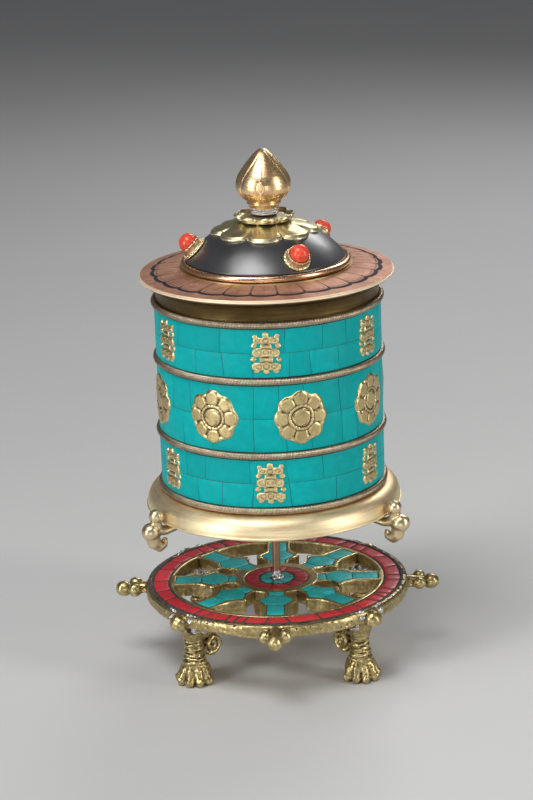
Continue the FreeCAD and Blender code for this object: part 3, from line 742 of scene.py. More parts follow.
def rim_inlay():
    b = Build()
    ring_chips(b, 36, CORAL_INNER + 0.15, CORAL_OUTER - 0.3, 0.8, 0.62, 0.02, CHIP_HEIGHT,
               np.random.default_rng(7))
    dress(b.object("rim_coral_mosaic"), RIM_CORAL, "base", "coral_chips", "rim_coral_chips")
    cement_bed("rim_cement_bed", CORAL_INNER, CORAL_OUTER, 11, "rim_cement")

    def smear(r, t):
        around = polar(r, t, 0)
        start = CORAL_OUTER + 0.5 + 0.45 * field(around, 4.5, 18)
        cover = 1 - smoothstep(r, start, start + 0.7)
        return WHEEL_TOP - 0.25 + (0.34 + 0.06 * soft_field(around, 0.9, 19)) * cover

    b = Build()
    radii = np.linspace(CORAL_OUTER - 0.3, RIM_RADIUS - 0.6, 9)
    polar_slab(b, radii, smear, lambda r, t: WHEEL_TOP - 0.5, 600)
    dress(b.object("rim_cement_smear"), CEMENT, "base", "cement")


def hub_inlay():
    source = np.random.default_rng(21)
    b = Build()
    ring_chips(b, 11, 7.4, HUB_INLAY - 0.1, 0.35, 0.25, 0.05, CHIP_HEIGHT, source)
    dress(b.object("hub_coral_mosaic"), HUB_CORAL, "base", "coral_chips", "hub_coral_chips")
    b = Build()
    ring_chips(b, 6, 2.5, 6.9, 0.4, 0.25, 0.06, CHIP_HEIGHT - 0.05, source)
    dress(b.object("hub_turquoise_mosaic"), BASE_TURQUOISE, "base", "turquoise", "hub_turquoise_chips")
    cement_bed("hub_cement_bed", 1.62, HUB_INLAY, 12, "hub_cement")


def spoke_chips(source):
    """Outlines of the three chips of one spoke: stem, arrow head and outer stem."""
    cut_in = 19.7 + source.uniform(-0.4, 0.4)
    cut_out = 30.0 + source.uniform(-0.3, 0.6)
    skew = source.uniform(-0.25, 0.25, 4)
    start, tip, end = 13.7 + CHIP_GAP, 25.1, 40.6 - CHIP_GAP
    stem, shoulder, wing, outer = 3.3 - CHIP_GAP, 3.7 - CHIP_GAP, 7.0 - 1.4 * CHIP_GAP, 3.6 - CHIP_GAP
    return (
        [(start, -3.0 + CHIP_GAP), (cut_in - 0.15 + skew[0], -stem), (cut_in - 0.15 - skew[0], stem),
         (start, 3.0 - CHIP_GAP)],
        [(cut_in + 0.15 + skew[0], -stem), (tip + skew[1], -wing), (29.7, -shoulder),
         (cut_out - 0.15, -outer), (cut_out - 0.15, outer), (29.7, shoulder), (tip - skew[1], wing),
         (cut_in + 0.15 - skew[0], stem)],
        [(cut_out + 0.12 + skew[2], -outer), (end + skew[3], -outer), (end - skew[3], outer),
         (cut_out + 0.12 - skew[2], outer)],
    )


def spoke_inlay():
    """Hand-cut chips in each spoke, over rough cement."""
    source = np.random.default_rng(33)
    chips = Build()
    beds = Build()
    for k in range(8):
        for outline in spoke_chips(source):
            chip(chips, outline, CHIP_HEIGHT + 0.01, CHIP_BEVEL, flat_place(POCKET_FLOOR, 45 * k), source)
        across = np.linspace(-1, 1, 5)
        top = np.array([[(x, w * t, WHEEL_TOP - 0.2) for t in across] for x, w in SPOKE_POCKET])
        top[..., 2] += soft_field(top, 1.5, k) * 0.05
        bottom = top.copy()
        bottom[..., 2] = POCKET_FLOOR - 0.05
        slab(beds, spun(top, 45 * k), spun(bottom, 45 * k))
    dress(chips.object("spoke_turquoise_mosaic"), BASE_TURQUOISE, "base", "turquoise",
          "spoke_turquoise_chips")
    dress(beds.object("spoke_cement_beds"), CEMENT, "base", "cement", "spoke_cement")


# ================================================================ legs
def oval_loft(build, sections, columns=28):
    """Closed loft through ovals of (centre x, half x, half y, height)."""
    sections = np.asarray(sections, float)
    fine = np.linspace(0, len(sections) - 1, len(sections) * 5)
    cx, hx, hy, z = [np.interp(fine, np.arange(len(sections)), column)[:, None] for column in sections.T]
    a = circle(columns)
    points = np.stack(np.broadcast_arrays(cx + hx * np.cos(a), hy * np.sin(a), z), -1)
    build.add(points, capped_faces(len(fine), columns))


SOLE = DATUM.z
COLUMN_X = 46.0


def paw(build, turn):
    """Five-toed lion's paw round the column, its toes turned by an angle in degrees."""
    p = Build()
    blob(p, (-0.6, 0, SOLE + 4.6), (5.6, 6.3, 6.6))
    blob(p, (-2.4, 0, SOLE + 3.2), (3.6, 4.9, 4.4))
    for a in np.radians((-78, -39, 0, 39, 78)):
        ahead = np.array([math.cos(a), math.sin(a) * 1.1, 0])
        knuckle = ahead * 3.9 + [0, 0, SOLE + 5.9]
        tip = ahead * 5.35 + [0, 0, SOLE + 2.3]
        limb(p, [ahead * 2.6 + [0, 0, SOLE + 10.4], knuckle], [0.95, 1.7])
        limb(p, [knuckle, tip], [1.85, 1.8])
        blob(p, tip + ahead * 0.15 + [0, 0, -0.2], (1.85, 1.85, 2.1))
        blob(p, tip + ahead * 1.45 + [0, 0, 0.1], (0.75, 0.75, 1.1))
    build.add(spun(p.points(), turn) + [COLUMN_X, 0, 0], p.faces)


def lion_leg(turn, seed):
    """Cast lion's leg: grooved column on +X, paw turned about it, scroll towards the axis."""
    b = Build()
    x = COLUMN_X
    oval_loft(b, [(x, 5.3, 5.5, 8.0), (x, 4.5, 4.6, 11.5), (x, 3.75, 3.85, 14.5), (x, 3.3, 3.4, 17.5),
                  (x, 3.3, 3.4, 20.0), (x + 0.1, 3.8, 4.1, 22.5), (x + 0.3, 4.6, 5.1, 25.8),
                  (x + 0.5, 5.0, 5.6, 28.4)])
    paw(b, turn)
    a = circle(40)
    for height, out, thick in ((12.4, 4.15, 0.75), (14.3, 3.75, 0.62), (15.9, 3.5, 0.62), (17.5, 3.3, 0.5),
                               (19.1, 3.2, 0.45), (20.7, 3.35, 0.42)):
        path = polar(out, a, height + 0.3 * np.sin(a * 2 + height)) * [1, 1.02, 1] + [x, 0, 0]
        tube(b, path, thick * (1 + 0.25 * np.cos(a * 3 + height)))
    scroll_x, scroll_z = 37.4, 17.4
    spiral = polar(np.linspace(3.7, 0.6, 60), np.radians(np.linspace(-110, 430, 60)), 0)
    for side in (-1.3, 1.3):
        for (along, up, _), r in zip(spiral, np.linspace(1.15, 0.85, 60)):
            blob(b, (scroll_x - along * 1.1, side, scroll_z + up), r, rows=7, columns=10)
    blob(b, (scroll_x, 0, scroll_z), (3.0, 1.6, 3.0))
    limb(b, [(44.0, 0, 19.0), (41.4, 0, 15.6), (39.2, 0, 14.2)], [1.9, 1.6, 1.3])
    limb(b, [(44.6, 0, 23.0), (40.6, 0, 21.4), (37.6, 0, 21.0), (34.9, 0, 19.4)], [2.0, 1.6, 1.4, 1.1])
    for web_x in np.linspace(35.6, 44.0, 8):
        blob(b, (web_x, 0, 25.2), (1.7, 2.2, 3.6))
    leg = fuse(b, "lion_leg_raw", 0.24, rounds=3)
    roughen(leg, 5.0, 0.12, seed)
    roughen(leg, 1.3, 0.06, seed + 1)
    co = coordinates(leg)
    around_column = 1 - smoothstep(reach(co - [x, 0, 0]), 4.6, 5.4)
    folds = np.sin(co[:, 2] * TAU / 1.5 + field(co, 6, seed + 2) * 1.3)
    where = smoothstep(co[:, 2], 13.0, 14.5) * (1 - smoothstep(co[:, 2], 20.5, 23.0)) * around_column
    co += normals(leg) * (folds * where * 0.16)[:, None]
    co[:, 2] = np.clip(co[:, 2], SOLE, WHEEL_BOTTOM - 0.02)
    set_coordinates(leg, co)
    mark_cavities(leg, 10, 0.13)
    # Darker towards the top of the leg, beneath the rim, in patches, and less on the column.
    darker_near_rim = smoothstep(co[:, 2], 17.0, 24.0) * np.clip(0.55 + 0.8 * field(co, 4.0, seed + 3), 0, 1.2)
    darken(leg, darker_near_rim * (1 - 0.6 * around_column))
    return leg


def legs():
    sides = {"front_right": (-45, -25), "front_left": (-135, 25), "back_left": (135, -25),
             "back_right": (45, 25)}
    for k, (side, (angle, turn)) in enumerate(sides.items()):
        leg = lion_leg(turn, 200 + 10 * k)
        set_coordinates(leg, spun(coordinates(leg), angle))
        leg.name = "lion_leg_" + side
        leg.data.name = leg.name
        dress(leg, CAST_BRASS, "base", "cast_brass", "leg_" + side)


def solder():
    """Run-out solder beside each leg: bright drops by the knob and grey lumps under the rim."""
    source = np.random.default_rng(5)
    b = Build()
    for angle in (45, 135, 225, 315):
        piece = Build()
        for x, y, z, r in ((51.0, 5.0, 33.9, 0.95), (51.3, -4.9, 33.8, 0.9), (51.6, 3.7, 33.9, 0.7),
                           (50.9, 6.8, 33.9, 0.6), (51.0, -6.4, 33.9, 0.5), (52.2, 5.1, 31.9, 1.3),
                           (52.2, -5.0, 31.6, 1.3), (51.6, -3.9, 33.6, 0.8), (51.4, 8.4, 32.8, 0.5),
                           (51.4, -9.2, 31.9, 0.5), (50.9, 10.2, 30.4, 0.45), (50.6, -11.4, 30.6, 0.4)):
            small_blob(piece, (x, y, z), (r * 0.8, r * source.uniform(0.9, 1.5), r * 0.75))
        for x, y, r in ((45.6, 6.9, 1.9), (45.0, -6.9, 1.8), (49.6, 6.1, 1.5), (49.4, -6.2, 1.6),
                        (42.2, 4.2, 1.9), (42.0, -4.1, 1.8), (39.4, 3.4, 1.7), (39.2, -3.4, 1.7),
                        (36.6, 3.0, 1.4), (36.4, -3.0, 1.4)):
            for _ in range(5):
                dx, dy = source.uniform(-1.0, 1.0, 2)
                size = r * source.uniform(0.5, 0.95)
                small_blob(piece, (x + dx, y + dy * 0.8, WHEEL_BOTTOM - 0.1 - source.uniform(0, 2.2)),
                           (size, size * 0.9, size * 0.8))
        b.take(piece, angle)
    run = fuse(b, "solder_runs", 0.22, rounds=1)
    roughen(run, 0.9, 0.12, 14)
    mark_cavities(run, 6)
    dress(run, SOLDER, "base", "solder", "leg_solder")


def base_details():
    base_wheel()
    rim_inlay()
    hub_inlay()
    spoke_inlay()
    legs()
    solder()
    dress_node("spindle", SPINDLE_COPPER)
    dress_node("spindle_washer", STEEL)
    dress_node("spindle_nut", STEEL)
    b = Build()
    for x, y, r in ((1.9, 0.4, 1.0), (-1.6, 1.2, 0.9), (-0.6, -2.0, 1.0), (1.4, -1.4, 0.9), (0.6, 2.0, 0.8)):
        small_blob(b, (x, y, WHEEL_TOP + 0.2), (r, r, 0.9))
    limb(b, [(0, 0, WHEEL_TOP - 0.2), (0, 0, WHEEL_TOP + 2.6)], [2.1, 1.75])
    foot = fuse(b, "spindle_solder_foot", 0.16)
    roughen(foot, 0.9, 0.06, 15)
    mark_cavities(foot, 5)
    dress(foot, SOLDER, "base", "solder")


# ================================================================ drum
BANDS = {name: (low(name).z, high(name).z) for name in ("lower_band", "middle_band", "upper_band")}
BAND_CHIP_DEPTH = 0.8
BAND_CEMENT_RADIUS = 44
RELIEF_STEP = 0.26
RELIEF_SINK = 1.3
ROPES = {name: ((low(name).z + high(name).z) / 2, high(name).x)
         for name in ("rope_ring_1", "rope_ring_2", "rope_ring_3", "rope_ring_4")}


def on_cylinder(angle, radius):
    """Place for points (arc length, height, depth) standing on a cylinder, centred on an angle."""
    def place(p):
        a = math.radians(angle) + p[:, 0] / radius
        r = radius + p[:, 2]
        return np.column_stack([r * np.cos(a), r * np.sin(a), p[:, 1]])
    return place


def band(name, courses, count, seed):
    """Inlaid band: cement on the shell, and courses of turquoise chips with jittered joints."""
    source = np.random.default_rng(seed)
    bottom, top = BANDS[name]
    bed_radius = BAND_RADIUS - BAND_CHIP_DEPTH
    b = Build()
    heights = np.linspace(bottom, top, courses + 1)
    for low_z, high_z in zip(heights[:-1], heights[1:]):
        stops = uneven_stops(count, 0.45, source) * TAU * bed_radius
        slants = source.uniform(-0.5, 0.5, count)
        slants = np.append(slants, slants[0])
        for k in range(count):
            start, end = stops[k], stops[k + 1]
            gap = source.uniform(0.05, 0.12)
            z0 = low_z + source.uniform(0.02, 0.12)
            z1 = high_z - source.uniform(0.02, 0.12)
            steps = max(3, int((end - start) / CHIP_STEP)) + 1
            under = np.linspace(start + gap - slants[k], end - gap - slants[k + 1], steps)
            over = np.linspace(start + gap + slants[k], end - gap + slants[k + 1], steps)
            outline = [(u, z0) for u in under] + [(u, z1) for u in over[::-1]]
            chip(b, outline, BAND_CHIP_DEPTH - 0.05, 0.08, on_cylinder(0, bed_radius), source, 0.04)
    dress(b.object(name + "_mosaic"), BAND_TURQUOISE, "drum", "turquoise", name)
    z, a = np.meshgrid(np.linspace(bottom, top, 40), circle(500), indexing="ij")
    lumps = soft_field(polar(BAND_CEMENT_RADIUS, a, z), 1.3, seed)
    b = Build()
    slab(b, polar(SHELL_RADIUS + 0.1, a, z), polar(BAND_RADIUS - 0.22 + lumps * 0.06, a, z), True)
    dress(b.object(name + "_cement"), CEMENT, "drum", "cement")


def relief(build, angle, centre_z, half_width, half_height, shape):
    """Height field standing on the band; shape gives its height over (u, v), below 0 outside."""
    u = np.arange(-half_width, half_width + RELIEF_STEP, RELIEF_STEP)
    v = np.arange(-half_height, half_height + RELIEF_STEP, RELIEF_STEP)
    vv, uu = np.meshgrid(v, u, indexing="ij")
    place = on_cylinder(angle, BAND_RADIUS)
    top, under = [
        place(np.stack([uu, vv + centre_z, h], -1).reshape(-1, 3)).reshape(*uu.shape, 3)
        for h in (shape(uu, vv), np.full(uu.shape, -RELIEF_SINK))
    ]
    slab(build, top, under)


def soft_box(u, v, half_u, half_v, corner):
    """Signed distance to a rounded box, below 0 inside."""
    du = np.maximum(np.abs(u) - half_u + corner, 0)
    dv = np.maximum(np.abs(v) - half_v + corner, 0)
    return np.hypot(du, dv) - corner


def dome_of(distance, width, height):
    """Rounded relief from a signed distance: height well inside, 0 at the edge."""
    t = np.clip(-distance / width, 0, 1)
    return height * np.sqrt(1 - (1 - t) ** 2)


def cloud_stack(u, v):
    """Generic scroll ornament: a lotus foot, a swelling middle with curls, and a flame bud."""
    boxes = ((5.2, 3.9, 1.25, 1.1, 0.9, 0.62), (0.4, 4.3, 1.8, 1.5, 1.0, 0.66),
             (-4.9, 4.5, 1.5, 1.2, 0.9, 0.62), (2.9, 1.7, 1.0, 0.6, 0.7, 0.5),
             (-2.4, 2.1, 1.2, 0.6, 0.7, 0.5))
    balls = ((3.5, 3.3, 1.0, 0.8, 0.56), (3.9, -2.1, 0.95, 0.8, 0.56), (3.3, 6.7, 0.8, 0.7, 0.5),
             (2.9, -6.6, 0.9, 0.7, 0.5), (0, -6.9, 1.1, 0.8, 0.55))
    parts = [(soft_box(u, v - cv, half_u, half_v, corner), width, height)
             for cv, half_u, half_v, corner, width, height in boxes]
    parts += [(np.hypot(np.abs(u) - cu, v - cv) - radius, width, height)
              for cu, cv, radius, width, height in balls]
    parts.append((np.hypot(u * 1.15, v - 7.1) - 1.25, 0.8, 0.62))
    h = np.full(u.shape, -0.9)
    for distance, width, height in parts:
        h = np.where(distance < 0, np.maximum(h, dome_of(distance, width, height) - 0.03), h)
    for cu, cv, radius in ((2.3, 0.4, 1.0), (0, 0.4, 0.75), (0, 5.2, 0.8), (2.4, -4.9, 0.75), (0, -4.9, 0.9),
                           (2.3, 5.3, 0.6)):
        ring_line = np.abs(np.hypot(np.abs(u) - cu, v - cv) - radius)
        h = np.where((h > 0) & (ring_line < 0.28), h - 0.34 * (1 - ring_line / 0.28), h)
    for line in (3.4, -1.7, 1.9, -3.3):
        groove = np.abs(v - line - 0.2 * np.cos(u * 1.4))
        h = np.where((h > 0) & (groove < 0.26), h - 0.3 * (1 - groove / 0.26), h)
    return h


def rosette(u, v):
    """Round lotus medallion: scalloped edge, eight ribbed petals, beaded ring and a swirled boss."""
    r = np.hypot(u, v)
    a = np.arctan2(v, u)
    edge = 10.5 - 0.8 * np.abs(np.sin(a * 4)) ** 3
    h = np.where(r < edge, 0.16 * smoothstep(edge - r, 0, 0.4), -0.9)
    petal = np.abs(np.cos(a * 4))
    lobe = 10.0 - 2.6 * (1 - petal) ** 1.3
    inside = lobe - r
    swell = np.clip(inside / 1.5, 0, 1) * smoothstep(r, 5.0, 6.2)
    h += np.where((inside > 0) & (r > 5.0), 0.72 * np.sqrt(swell) * petal ** 0.8, 0)
    vein = smoothstep(petal, 0.94, 1.0) * smoothstep(r, 5.8, 6.6) * (1 - smoothstep(r, 8.4, 9.0))
    h -= 0.36 * vein
    between = np.abs(np.sin(a * 4)) ** 6
    h += 0.5 * between * np.exp(-((r - 8.9) / 0.75) ** 2)
    ring_line = np.abs(r - 4.5) / 0.55
    beads = 0.5 + 0.5 * np.cos(a * 20)
    h += np.where(ring_line < 1, 0.66 * np.sqrt(1 - np.minimum(ring_line, 1) ** 2) * (0.45 + 0.55 * beads), 0)
    h += np.where(r < 3.5, 0.80 * np.sqrt(np.clip(1 - (r / 3.5) ** 2, 0, 1)), 0)
    swirl = np.sin(a * 3 + r * 1.7)
    h -= np.where((r < 3.3) & (r > 0.7), 0.3 * smoothstep(swirl, 0.2, 0.8), 0)
    return h


def shade_relief(obj, middle, gain):
    """Dark in the low ground of a relief and bright on its tops."""
    mark_cavities(obj, 8, 0.10)
    height = reach(coordinates(obj)) - BAND_RADIUS
    set_value(obj, "cavity_and_shade", np.clip(values_of(obj, "cavity_and_shade") * 0.6 + (height - middle) * gain, -1, 1))


RELIEF_LIMIT = high("middle_medallions").x - BAND_RADIUS - 0.02


def worn(shape, seed, stretch=1.0):
    """The same ornament as struck by hand each time: slightly bent, uneven and rubbed."""
    def made(u, v):
        flat = np.stack([u, v, u * 0], -1)
        h = shape(u * stretch + 0.16 * field(flat, 7, seed), v + 0.16 * field(flat, 7, seed + 1))
        rough = 0.03 * field(flat, 0.9, seed + 2)
        return np.minimum(np.where(h > 0, h + rough, h), RELIEF_LIMIT)
    return made


def ornaments():
    for node, name in (("upper_ornaments", "upper_band"), ("lower_ornaments", "lower_band")):
        b = Build()
        for k in range(6):
            motif = worn(cloud_stack, 60 + 7 * k + len(name), 0.8)
            relief(b, -90 + 60 * k, sum(BANDS[name]) / 2, 7.0, 8.6, motif)
        obj = b.object(name + "_reliefs")
        shade_relief(obj, 0.30, 1.6)
        dress(obj, RELIEF_BRASS, "drum", "relief_brass", node)
    b = Build()
    for k in range(8):
        relief(b, -90 + 16.5 + 45 * k, sum(BANDS["middle_band"]) / 2, 10.8, 10.8, worn(rosette, 90 + 5 * k))
    obj = b.object("lotus_medallions")
    shade_relief(obj, 0.40, 1.5)
    dress(obj, RELIEF_BRASS, "drum", "relief_brass", "middle_medallions")


def rope(name, height, outer, turns, seed):
    """Ring of two twisted wires with a finer wire laid between them."""
    core = outer - 1.5
    b = Build()
    a = circle(turns * 12)
    drift = field(polar(44, a, 0), 30, seed) * 0.05
    for start, lay, radius, sides in ((0, 0.70, 0.74, 8), (math.pi / 2, 0.98, 0.4, 6)):
        for phase in (start, start + math.pi):
            twist = a * turns + phase
            tube(b, polar(core + lay * np.cos(twist), a, height + drift + lay * np.sin(twist)), radius, sides)
    obj = b.object(name + "_wires")
    co = coordinates(obj)
    depth = np.hypot(reach(co) - core, co[:, 2] - height - np.mean(drift))
    set_value(obj, "cavity_and_shade", np.clip((depth - 1.22) * 4.2, -1.2, 1.0))
    dress(obj, ROPE_BRONZE, "drum", "twisted_wire", name)


def skirt():
    """Flared spun skirt: convex quarter round, rolled bead at the foot, slightly hand worked."""
    inner_foot = 42.45
    sheet = 0.9
    foot = SKIRT_TOP - 8.3
    outline = [(inner_foot, SKIRT_TOP), (43.6, SKIRT_TOP - 0.02)]
    for t in np.linspace(0, 1, 26)[1:-1]:
        a = math.radians(90 * (1 - t) - 4)
        outline.append((43.4 + (SKIRT_RADIUS - 43.5) * math.cos(a) ** 0.85,
                        foot + 0.9 + (SKIRT_TOP - foot - 0.9) * max(math.sin(a), 0) ** 0.9))
    outline += arc_points((SKIRT_RADIUS - 0.45, foot + 0.72), 0.72, 35, -120, 12)
    inner = [(r - sheet * 0.85, z - sheet * 0.8) for r, z in outline[::-1]
             if z > foot + 1.5 and r > inner_foot + 0.3]
    outline += [(SKIRT_RADIUS - 1.1, foot + 0.35)] + inner + [(inner_foot, SKIRT_TOP - 1.6)]

    def hand_worked(r, z, a):
        points = polar(r, a, 0)
        wave = field(points, 45, 71)
        out = smoothstep(r, 43.4, 47)
        return r + out * np.clip(wave, -1, 1) * 0.08, z + out * (wave * 0.10 + field(points, 14, 72) * 0.03)

    b = Build()
    turned(b, outline[::-1], 320, hand_worked)
    for r, z, thick in ((44.15, SKIRT_TOP - 0.15, 0.28), (SKIRT_RADIUS - 0.55, foot + 1.95, 0.24)):
        tube(b, polar(r, circle(320), z), thick)
    obj = b.object("spun_skirt")
    clip_heights(obj, low("skirt").z, SKIRT_TOP)
    co = coordinates(obj)
    radius = reach(co)
    # Painted light in the stored value: darker near the top and brighter towards the outer flare, a painted
    # highlight on the foot bead, and a painted shade line in the groove above the bead.
    groove = np.exp(-((co[:, 2] - foot - 1.58) / 0.16) ** 2) * (radius > 49.0)
    shade = (radius - 46.0) * 0.1 + 0.9 * (co[:, 2] < foot + 1.3) - 1.6 * groove
    set_value(obj, "cavity_and_shade", np.clip(shade, -1.0, 1.0))
    dress(obj, SKIRT_BRASS, "drum", "polished_brass", "skirt")


def spin_knob(side, angle):
    """Cloud-shaped knob: a ball up against the skirt, a ball outwards and a tail curling under."""
    node = "spin_knob_" + side
    b = Build()
    limb(b, [(38.5, 0, 65.5), (44, 0, 65.2), (49.5, 0, 64.6), (52.6, 0, 65.4)], [1.2, 1.5, 1.9, 2.4])
    blob(b, (55.8, 0, 65.0), (3.75, 3.6, 3.6))
    blob(b, (53.4, 0, 70.9), (2.75, 2.9, 3.0))
    limb(b, [(53.2, 0, 70.0), (53.6, 0, 66.4)], [2.3, 2.6])
    limb(b, [(55.2, 0, 63.6), (54.6, 0, 60.6), (52.6, 0, 58.7), (50.6, 0, 59.1)], [3.0, 2.7, 2.3, 1.7])
    limb(b, [(50.6, 0, 59.1), (49.9, 0, 60.6)], [1.7, 1.2])
    knob = fuse(b, node + "_casting", 0.24, rounds=4)
    roughen(knob, 5, 0.10, 100 + len(side))
    set_coordinates(knob, np.clip(spun(coordinates(knob), angle), low(node), high(node)))
    mark_cavities(knob, 12, 0.2)
    dress(knob, KNOB_BRASS, "drum", "cast_brass", node)


def drum_details():
    band("lower_band", 2, 19, 41)
    band("middle_band", 2, 20, 42)
    band("upper_band", 2, 19, 43)
    ornaments()
    for k, (name, (height, outer)) in enumerate(ROPES.items()):
        rope(name, height, outer, 118, 50 + k)
    skirt()
    for side, angle in (("left", -148), ("right", -28), ("back", 92)):
        spin_knob(side, angle)
    for name in ("drum_shell", "drum_floor", "floor_bush", "core_tube", "pivot_cup"):
        dress_node(name, SHEET_BRASS)
    dress_node("prayer_scroll", PAPER)


# ================================================================ lid


def polar_slab(build, radii, top, bottom, angles, **values):
    """Ring whose top and bottom heights, and values, are functions of radius and angle."""
    r, t = np.meshgrid(radii, circle(angles), indexing="ij")
    full = {key: make(r, t) for key, make in values.items()}
    slab(build, polar(r, t, top(r, t)), polar(r, t, bottom(r, t)), True, **full)


PLATE_CENTRE = low("dome_seat_ring").z
PLATE_RISE = 34.5
PLATE_SHEET = 0.8
PETALS = 8


def plate_height(r):
    edge = PLATE_UNDER + PLATE_SHEET
    fall = [1 - smoothstep(x, PLATE_RISE, PLATE_RADIUS + 6) for x in (r, PLATE_RISE)]
    return edge + (PLATE_CENTRE - edge) * fall[0] / fall[1]


def petal_lines(r, t):
    """0 to 1: the broad scalloped line near the border, and the finer petals and veins inside it."""
    count = 26
    phase = (t * count / TAU) % 1.0 * 2 - 1
    half_width = r * TAU / count / 2
    scallop = 43.1 + 1.3 * np.sqrt(np.clip(1 - phase ** 2, 0, 1)) + 0.12 * np.sin(t * 5)
    broad = np.exp(-((r - scallop) / 0.74) ** 4)
    smudge = 0.34 * np.exp(-((r - scallop + 0.5) / 1.5) ** 2)
    inside = smoothstep(scallop - r, 0.2, 1.2)
    side = 0.62 * np.exp(-((1 - np.abs(phase)) * half_width / 0.5) ** 2) * inside
    vein = 0.45 * np.exp(-(np.abs(phase) * half_width / 0.24) ** 2) * smoothstep(scallop - r, 1.8, 2.6)
    tip = 0.5 * np.exp(-((r - scallop + 1.75) / 0.24) ** 2) * (np.abs(phase) < 0.7)
    return np.clip(np.maximum(np.maximum(broad, side), np.maximum(vein, tip)) + smudge, 0, 1)


def top_plate():
    def top(r, t):
        dents = np.clip(field(polar(r, t, 0), 17, 83), -1.5, 1)
        return plate_height(r) - 0.15 * petal_lines(r, t) + 0.035 * dents - 0.04

    def under(r, t):
        return plate_height(r) - PLATE_SHEET + 0.05

    def rubbed(r, t):
        return smoothstep(r, PLATE_RADIUS - 0.9, PLATE_RADIUS - 0.4)

    b = Build()
    radii = np.concatenate([np.linspace(20, 34, 4), np.arange(34.4, PLATE_RADIUS - 0.4, 0.22)])
    polar_slab(b, radii, top, under, 960, ink=petal_lines, rubbed=rubbed)
    edge_z = PLATE_UNDER + PLATE_SHEET / 2 + 0.02
    outline = arc_points((PLATE_RADIUS - 0.38, edge_z), 0.38, 100, -100, 12)
    outline += [(PLATE_RADIUS - 1.0, PLATE_UNDER + z) for z in (0.1, PLATE_SHEET - 0.05)]
    turned(b, outline, 480, ink=0.0, rubbed=1.0)
    obj = b.object("engraved_top_plate")
    clip_heights(obj, PLATE_UNDER, PLATE_CENTRE)
    dress(obj, PLATE_COPPER, "lid", "copper", "top_plate")
    dress_node("dome_seat_ring", LOTUS_BRASS)


def wire_ring():
    """Round copper wire at the dome's foot, bent by hand."""
    half = (BEAD_HIGH - BEAD_LOW) / 2
    a = circle(300)
    wave = field(polar(30, a, 0), 26, 81) * 0.05
    b = Build()
    tube(b, polar(BEAD_OUTER - half + wave, a, BEAD_LOW + half + wave * 0.6), half - 0.06, 20)
    obj = b.object("dome_foot_wire")
    mark_cavities(obj, 4)
    dress(obj, WIRE_COPPER, "lid", "copper", "dome_bead_ring")


def dome():
    start = math.degrees(math.asin((DOME_FOOT - DOME_CENTRE) / DOME_SPHERE))
    outer = arc_points((0, DOME_CENTRE), DOME_SPHERE, start, 90, 60)
    inner = arc_points((0, DOME_CENTRE), DOME_SPHERE - 1.5, 89.9, start + 1.2, 40)

    def hammered(r, z, a):
        dip = soft_field(polar(r, a, z), 13, 82) * 0.05 - 0.05
        return r + dip * r / DOME_SPHERE, z + dip * (z - DOME_CENTRE) / DOME_SPHERE

    b = Build()
    turned(b, [(max(r, 0.02), z) for r, z in inner + outer], 256, hammered)
    dress(b.object("lacquered_dome"), LACQUER, "lid", "black_lacquer", "dome")


STONES = ((-63.0, 46.4), (47.0, 42.5), (-174.0, 46.4))


def stone_frame(angle, slope):
    """Centre of a stone's foot on the dome and the directions out of, round and up the dome."""
    elevation, a = math.radians(slope), math.radians(angle)
    out = polar(math.cos(elevation), a, math.sin(elevation))
    side = np.array([-math.sin(a), math.cos(a), 0])
    foot = np.array([0, 0, DOME_CENTRE]) + out * DOME_SPHERE
    return foot, np.stack([side, np.cross(out, side), out], 1)


def set_stones():
    """Coral beads in gold cups with a beaded, serrated flange."""
    def serrated(r, z, a):
        rim_teeth = smoothstep(z, 2.6, 3.1) * (0.5 + 0.5 * np.cos(a * 16))
        return r - 0.34 * smoothstep(r, 4.9, 5.4) * (0.5 + 0.5 * np.cos(a * 24)), z - 0.28 * rim_teeth

    cup = Build()
    turned(cup, [(2.2, 0.35), (5.1, -0.15), (5.4, 0.15), (5.2, 0.5), (4.75, 0.62), (4.45, 0.8), (4.25, 1.2),
                 (4.12, 2.0), (4.2, 2.7), (4.33, 3.05), (4.25, 3.3), (4.0, 3.3), (3.86, 3.0), (3.8, 2.0),
                 (3.3, 1.6), (2.2, 1.2)], 144, serrated)
    for x, y, z in polar(4.85, circle(20) + TAU / 40, 0.72):
        blob(cup, (x, y, z), 0.42, rows=7, columns=10)
    bead_centre = [0, 0, 3.78]
    bead = Build()
    blob(bead, bead_centre, (3.68, 3.68, 3.62), rows=40, columns=56)
    stones = Build()
    cups = Build()
    for k, (angle, slope) in enumerate(STONES):
        foot, axes = stone_frame(angle, slope)
        points = bead.points()
        points += field(points + 40 * k, 5, 84 + k)[:, None] * 0.05 * (points - bead_centre) / 3.7
        stones.add(points @ axes.T + foot, bead.faces, tone=-0.6 + 0.4 * k)
        cups.add(cup.points() @ axes.T + foot, cup.faces)
    dress(stones.object("coral_beads"), STONE_CORAL, "lid", "coral_stone", "coral_stones")
    cup_obj = cups.object("stone_cups")
    mark_cavities(cup_obj, 6, 0.10)
    dress(cup_obj, GOLD_CUP, "lid", "sheet_brass", "stone_bezels")


